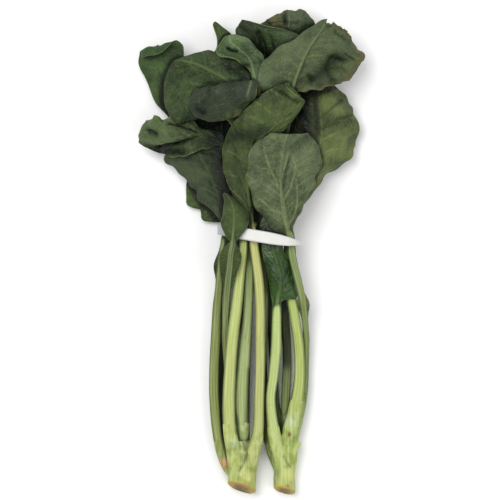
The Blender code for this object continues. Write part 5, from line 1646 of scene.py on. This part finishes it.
            (226, 336, 29, 4.0), (226, 307, 36, 3.9), (228, 283, 45, 3.7, 1.5), (230, 266, 51, 3.5, 6),
            (231, 254, 55, 3.2, 7.5), (233, 242, 58, 3.0)],
        blade=[((229, 241, 58), (233, 238, 59.5), (238, 240, 58), 2.4),
            ((222, 228, 56), (234, 224, 61), (247, 227, 57), 2.0),
            ((222, 214, 54), (234, 211, 62), (249, 216, 58), 1.6),
            ((225, 203, 54), (231, 201, 60), (241, 206, 59), 1.2),
            ((223, 195, 55), (225.5, 193.5, 57), (232, 197, 58), 0.8)],
        finish=LeafFinish("#394922", "#222d13", "#5b6d3b", "#354322", "#42552e", "#7d894a"),
        ruffle=1.0, waves=2.5, phase=1.1, lift_from_y=262.0, seed=101, side_vein=0.3,
        folds=((0.0, 3.5, 0.6, ((245, 210), (249, 222))),),
    ),
]

# Each stalk's butt as (x, y, z, radius) up from the cut face.
STALKS: dict[str, list[StemKnot]] = {
    "stalk_left": [(241.5, 487, 13.6, 14.2), (242, 474, 13.6, 14.0), (243, 458, 15, 12.0),
        (243, 440, 16, 8.0)],
    "stalk_right": [(284.5, 490, 10.3, 10.9), (284, 476, 10.3, 10.6), (285, 460, 12, 9.0),
        (287, 445, 13.5, 6.5)],
}

# What is drawn on the stalks: seams as (x, y) corners, darkened with painted shade, and round patches as
# (x, y, radius, strength, colour). The dark green patches beside the seams are painted shade; the others make
# the rind paler, yellower or browner in places.
# A stub is the (x, y, z, radius) of what is left of a torn-off stem.
STALK_DETAILS: dict[str, dict[str, Any]] = {
    "stalk_left": {
        "seams": (((234, 424), (238, 433), (244, 444), (245, 449)),
            ((253, 418), (251.5, 434), (249.5, 446), (246.5, 456), (242.5, 465), (239, 470))),
        "patches": ((234, 442, 8, 0.6, "#c6d0b4"), (242, 446, 5, 0.7, "#6c7a44"),
            (248.5, 428, 5, 0.65, "#75834a"), (248, 447, 8, 0.85, "#59683a"), (247, 441, 5, 0.9, "#4a5730"),
            (244, 457, 8, 0.8, "#6c7a44"), (240, 466, 4, 0.6, "#7f8c4c"), (240.5, 474, 2.2, 0.7, "#e2e2b0"),
            (244.5, 476.5, 2.2, 0.7, "#e2e2b0"), (249, 478, 2.2, 0.6, "#e2e2b0"),
            (237, 459, 5, 0.5, "#bcc26a"), (247, 476, 9, 0.6, "#cfd080"), (236, 478, 6, 0.45, "#98a65a"),
            (224, 463, 9, 0.95, "#b98f66"), (229, 452, 6, 0.4, "#7f8a4c")),
    },
    "stalk_right": {
        "seams": (((274, 424), (278, 439), (281.5, 448), (284, 456), (287, 462), (290, 466)),),
        "patches": ((290, 420, 11, 0.6, "#c6d0b4"), (289, 434, 3.6, 1.0, "#7a5a3c"),
            (283, 441, 5, 0.5, "#8fa05a"), (288, 474, 10, 0.65, "#d0d27e"), (276, 473, 6, 0.6, "#76864a"),
            (287, 487, 5, 0.9, "#8a5a2c"), (279, 455, 6, 0.4, "#a3b26a"), (291, 482, 2.2, 0.6, "#a88246")),
        "stubs": (((294, 452, 13, 2.4), (297, 447, 16, 2.1), (300, 441.5, 18, 1.9)),),
    },
}


@dataclass
class Bunch:
    """The whole bunch: leaves from the lowest to the highest, the tie, and the two stalks."""

    patterns: list[LeafPattern]
    stalks: dict[str, list[StemKnot]]

    def build(self) -> None:
        """Build the pieces from the table up and report each. The highest leaf lies on the tie."""
        heights = HeightMap()
        leaves = [Leaf(pattern) for pattern in self.patterns]
        pieces = [leaf.build(heights) for leaf in leaves[:-1]]
        pieces.append(TieBand(TieFinish()).build(heights))
        pieces.append(leaves[-1].build(heights))
        for name, path in self.stalks.items():
            grown = [leaf for leaf in leaves if leaf.pattern.stalk == name]
            pieces.append(Stalk(name, path, grown, StalkFinish(), **STALK_DETAILS[name]).build())
        for piece in pieces[-len(self.stalks):]:
            heights.add(vertex_rows(piece.data.vertices, "co") / MM)
        for piece in pieces:
            corners = piece.data.vertices
            facing = vertex_rows(corners, "normal")[:, 2]
            # The sunk mark sets where the materials paint shade, deep among the other pieces.
            add_mark(piece.data, "sunk", heights.sunk(vertex_rows(corners, "co") / MM, facing))
            LOG.info("%s: %d faces", piece.name, len(piece.data.polygons))


def vertex_rows(corners: Any, what: str) -> Array:
    """Read the places or the normals of a mesh's vertices as rows of three."""
    found = np.empty(len(corners) * 3, np.float32)
    corners.foreach_get(what, found)
    return found.reshape(-1, 3).astype(float)


def main() -> None:
    """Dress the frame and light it."""
    Bunch(LEAVES, STALKS).build()
    Studio().build()
    bpy.context.view_layer.update()
    LOG.info("boxes written")


if __name__ == "__main__":
    main()
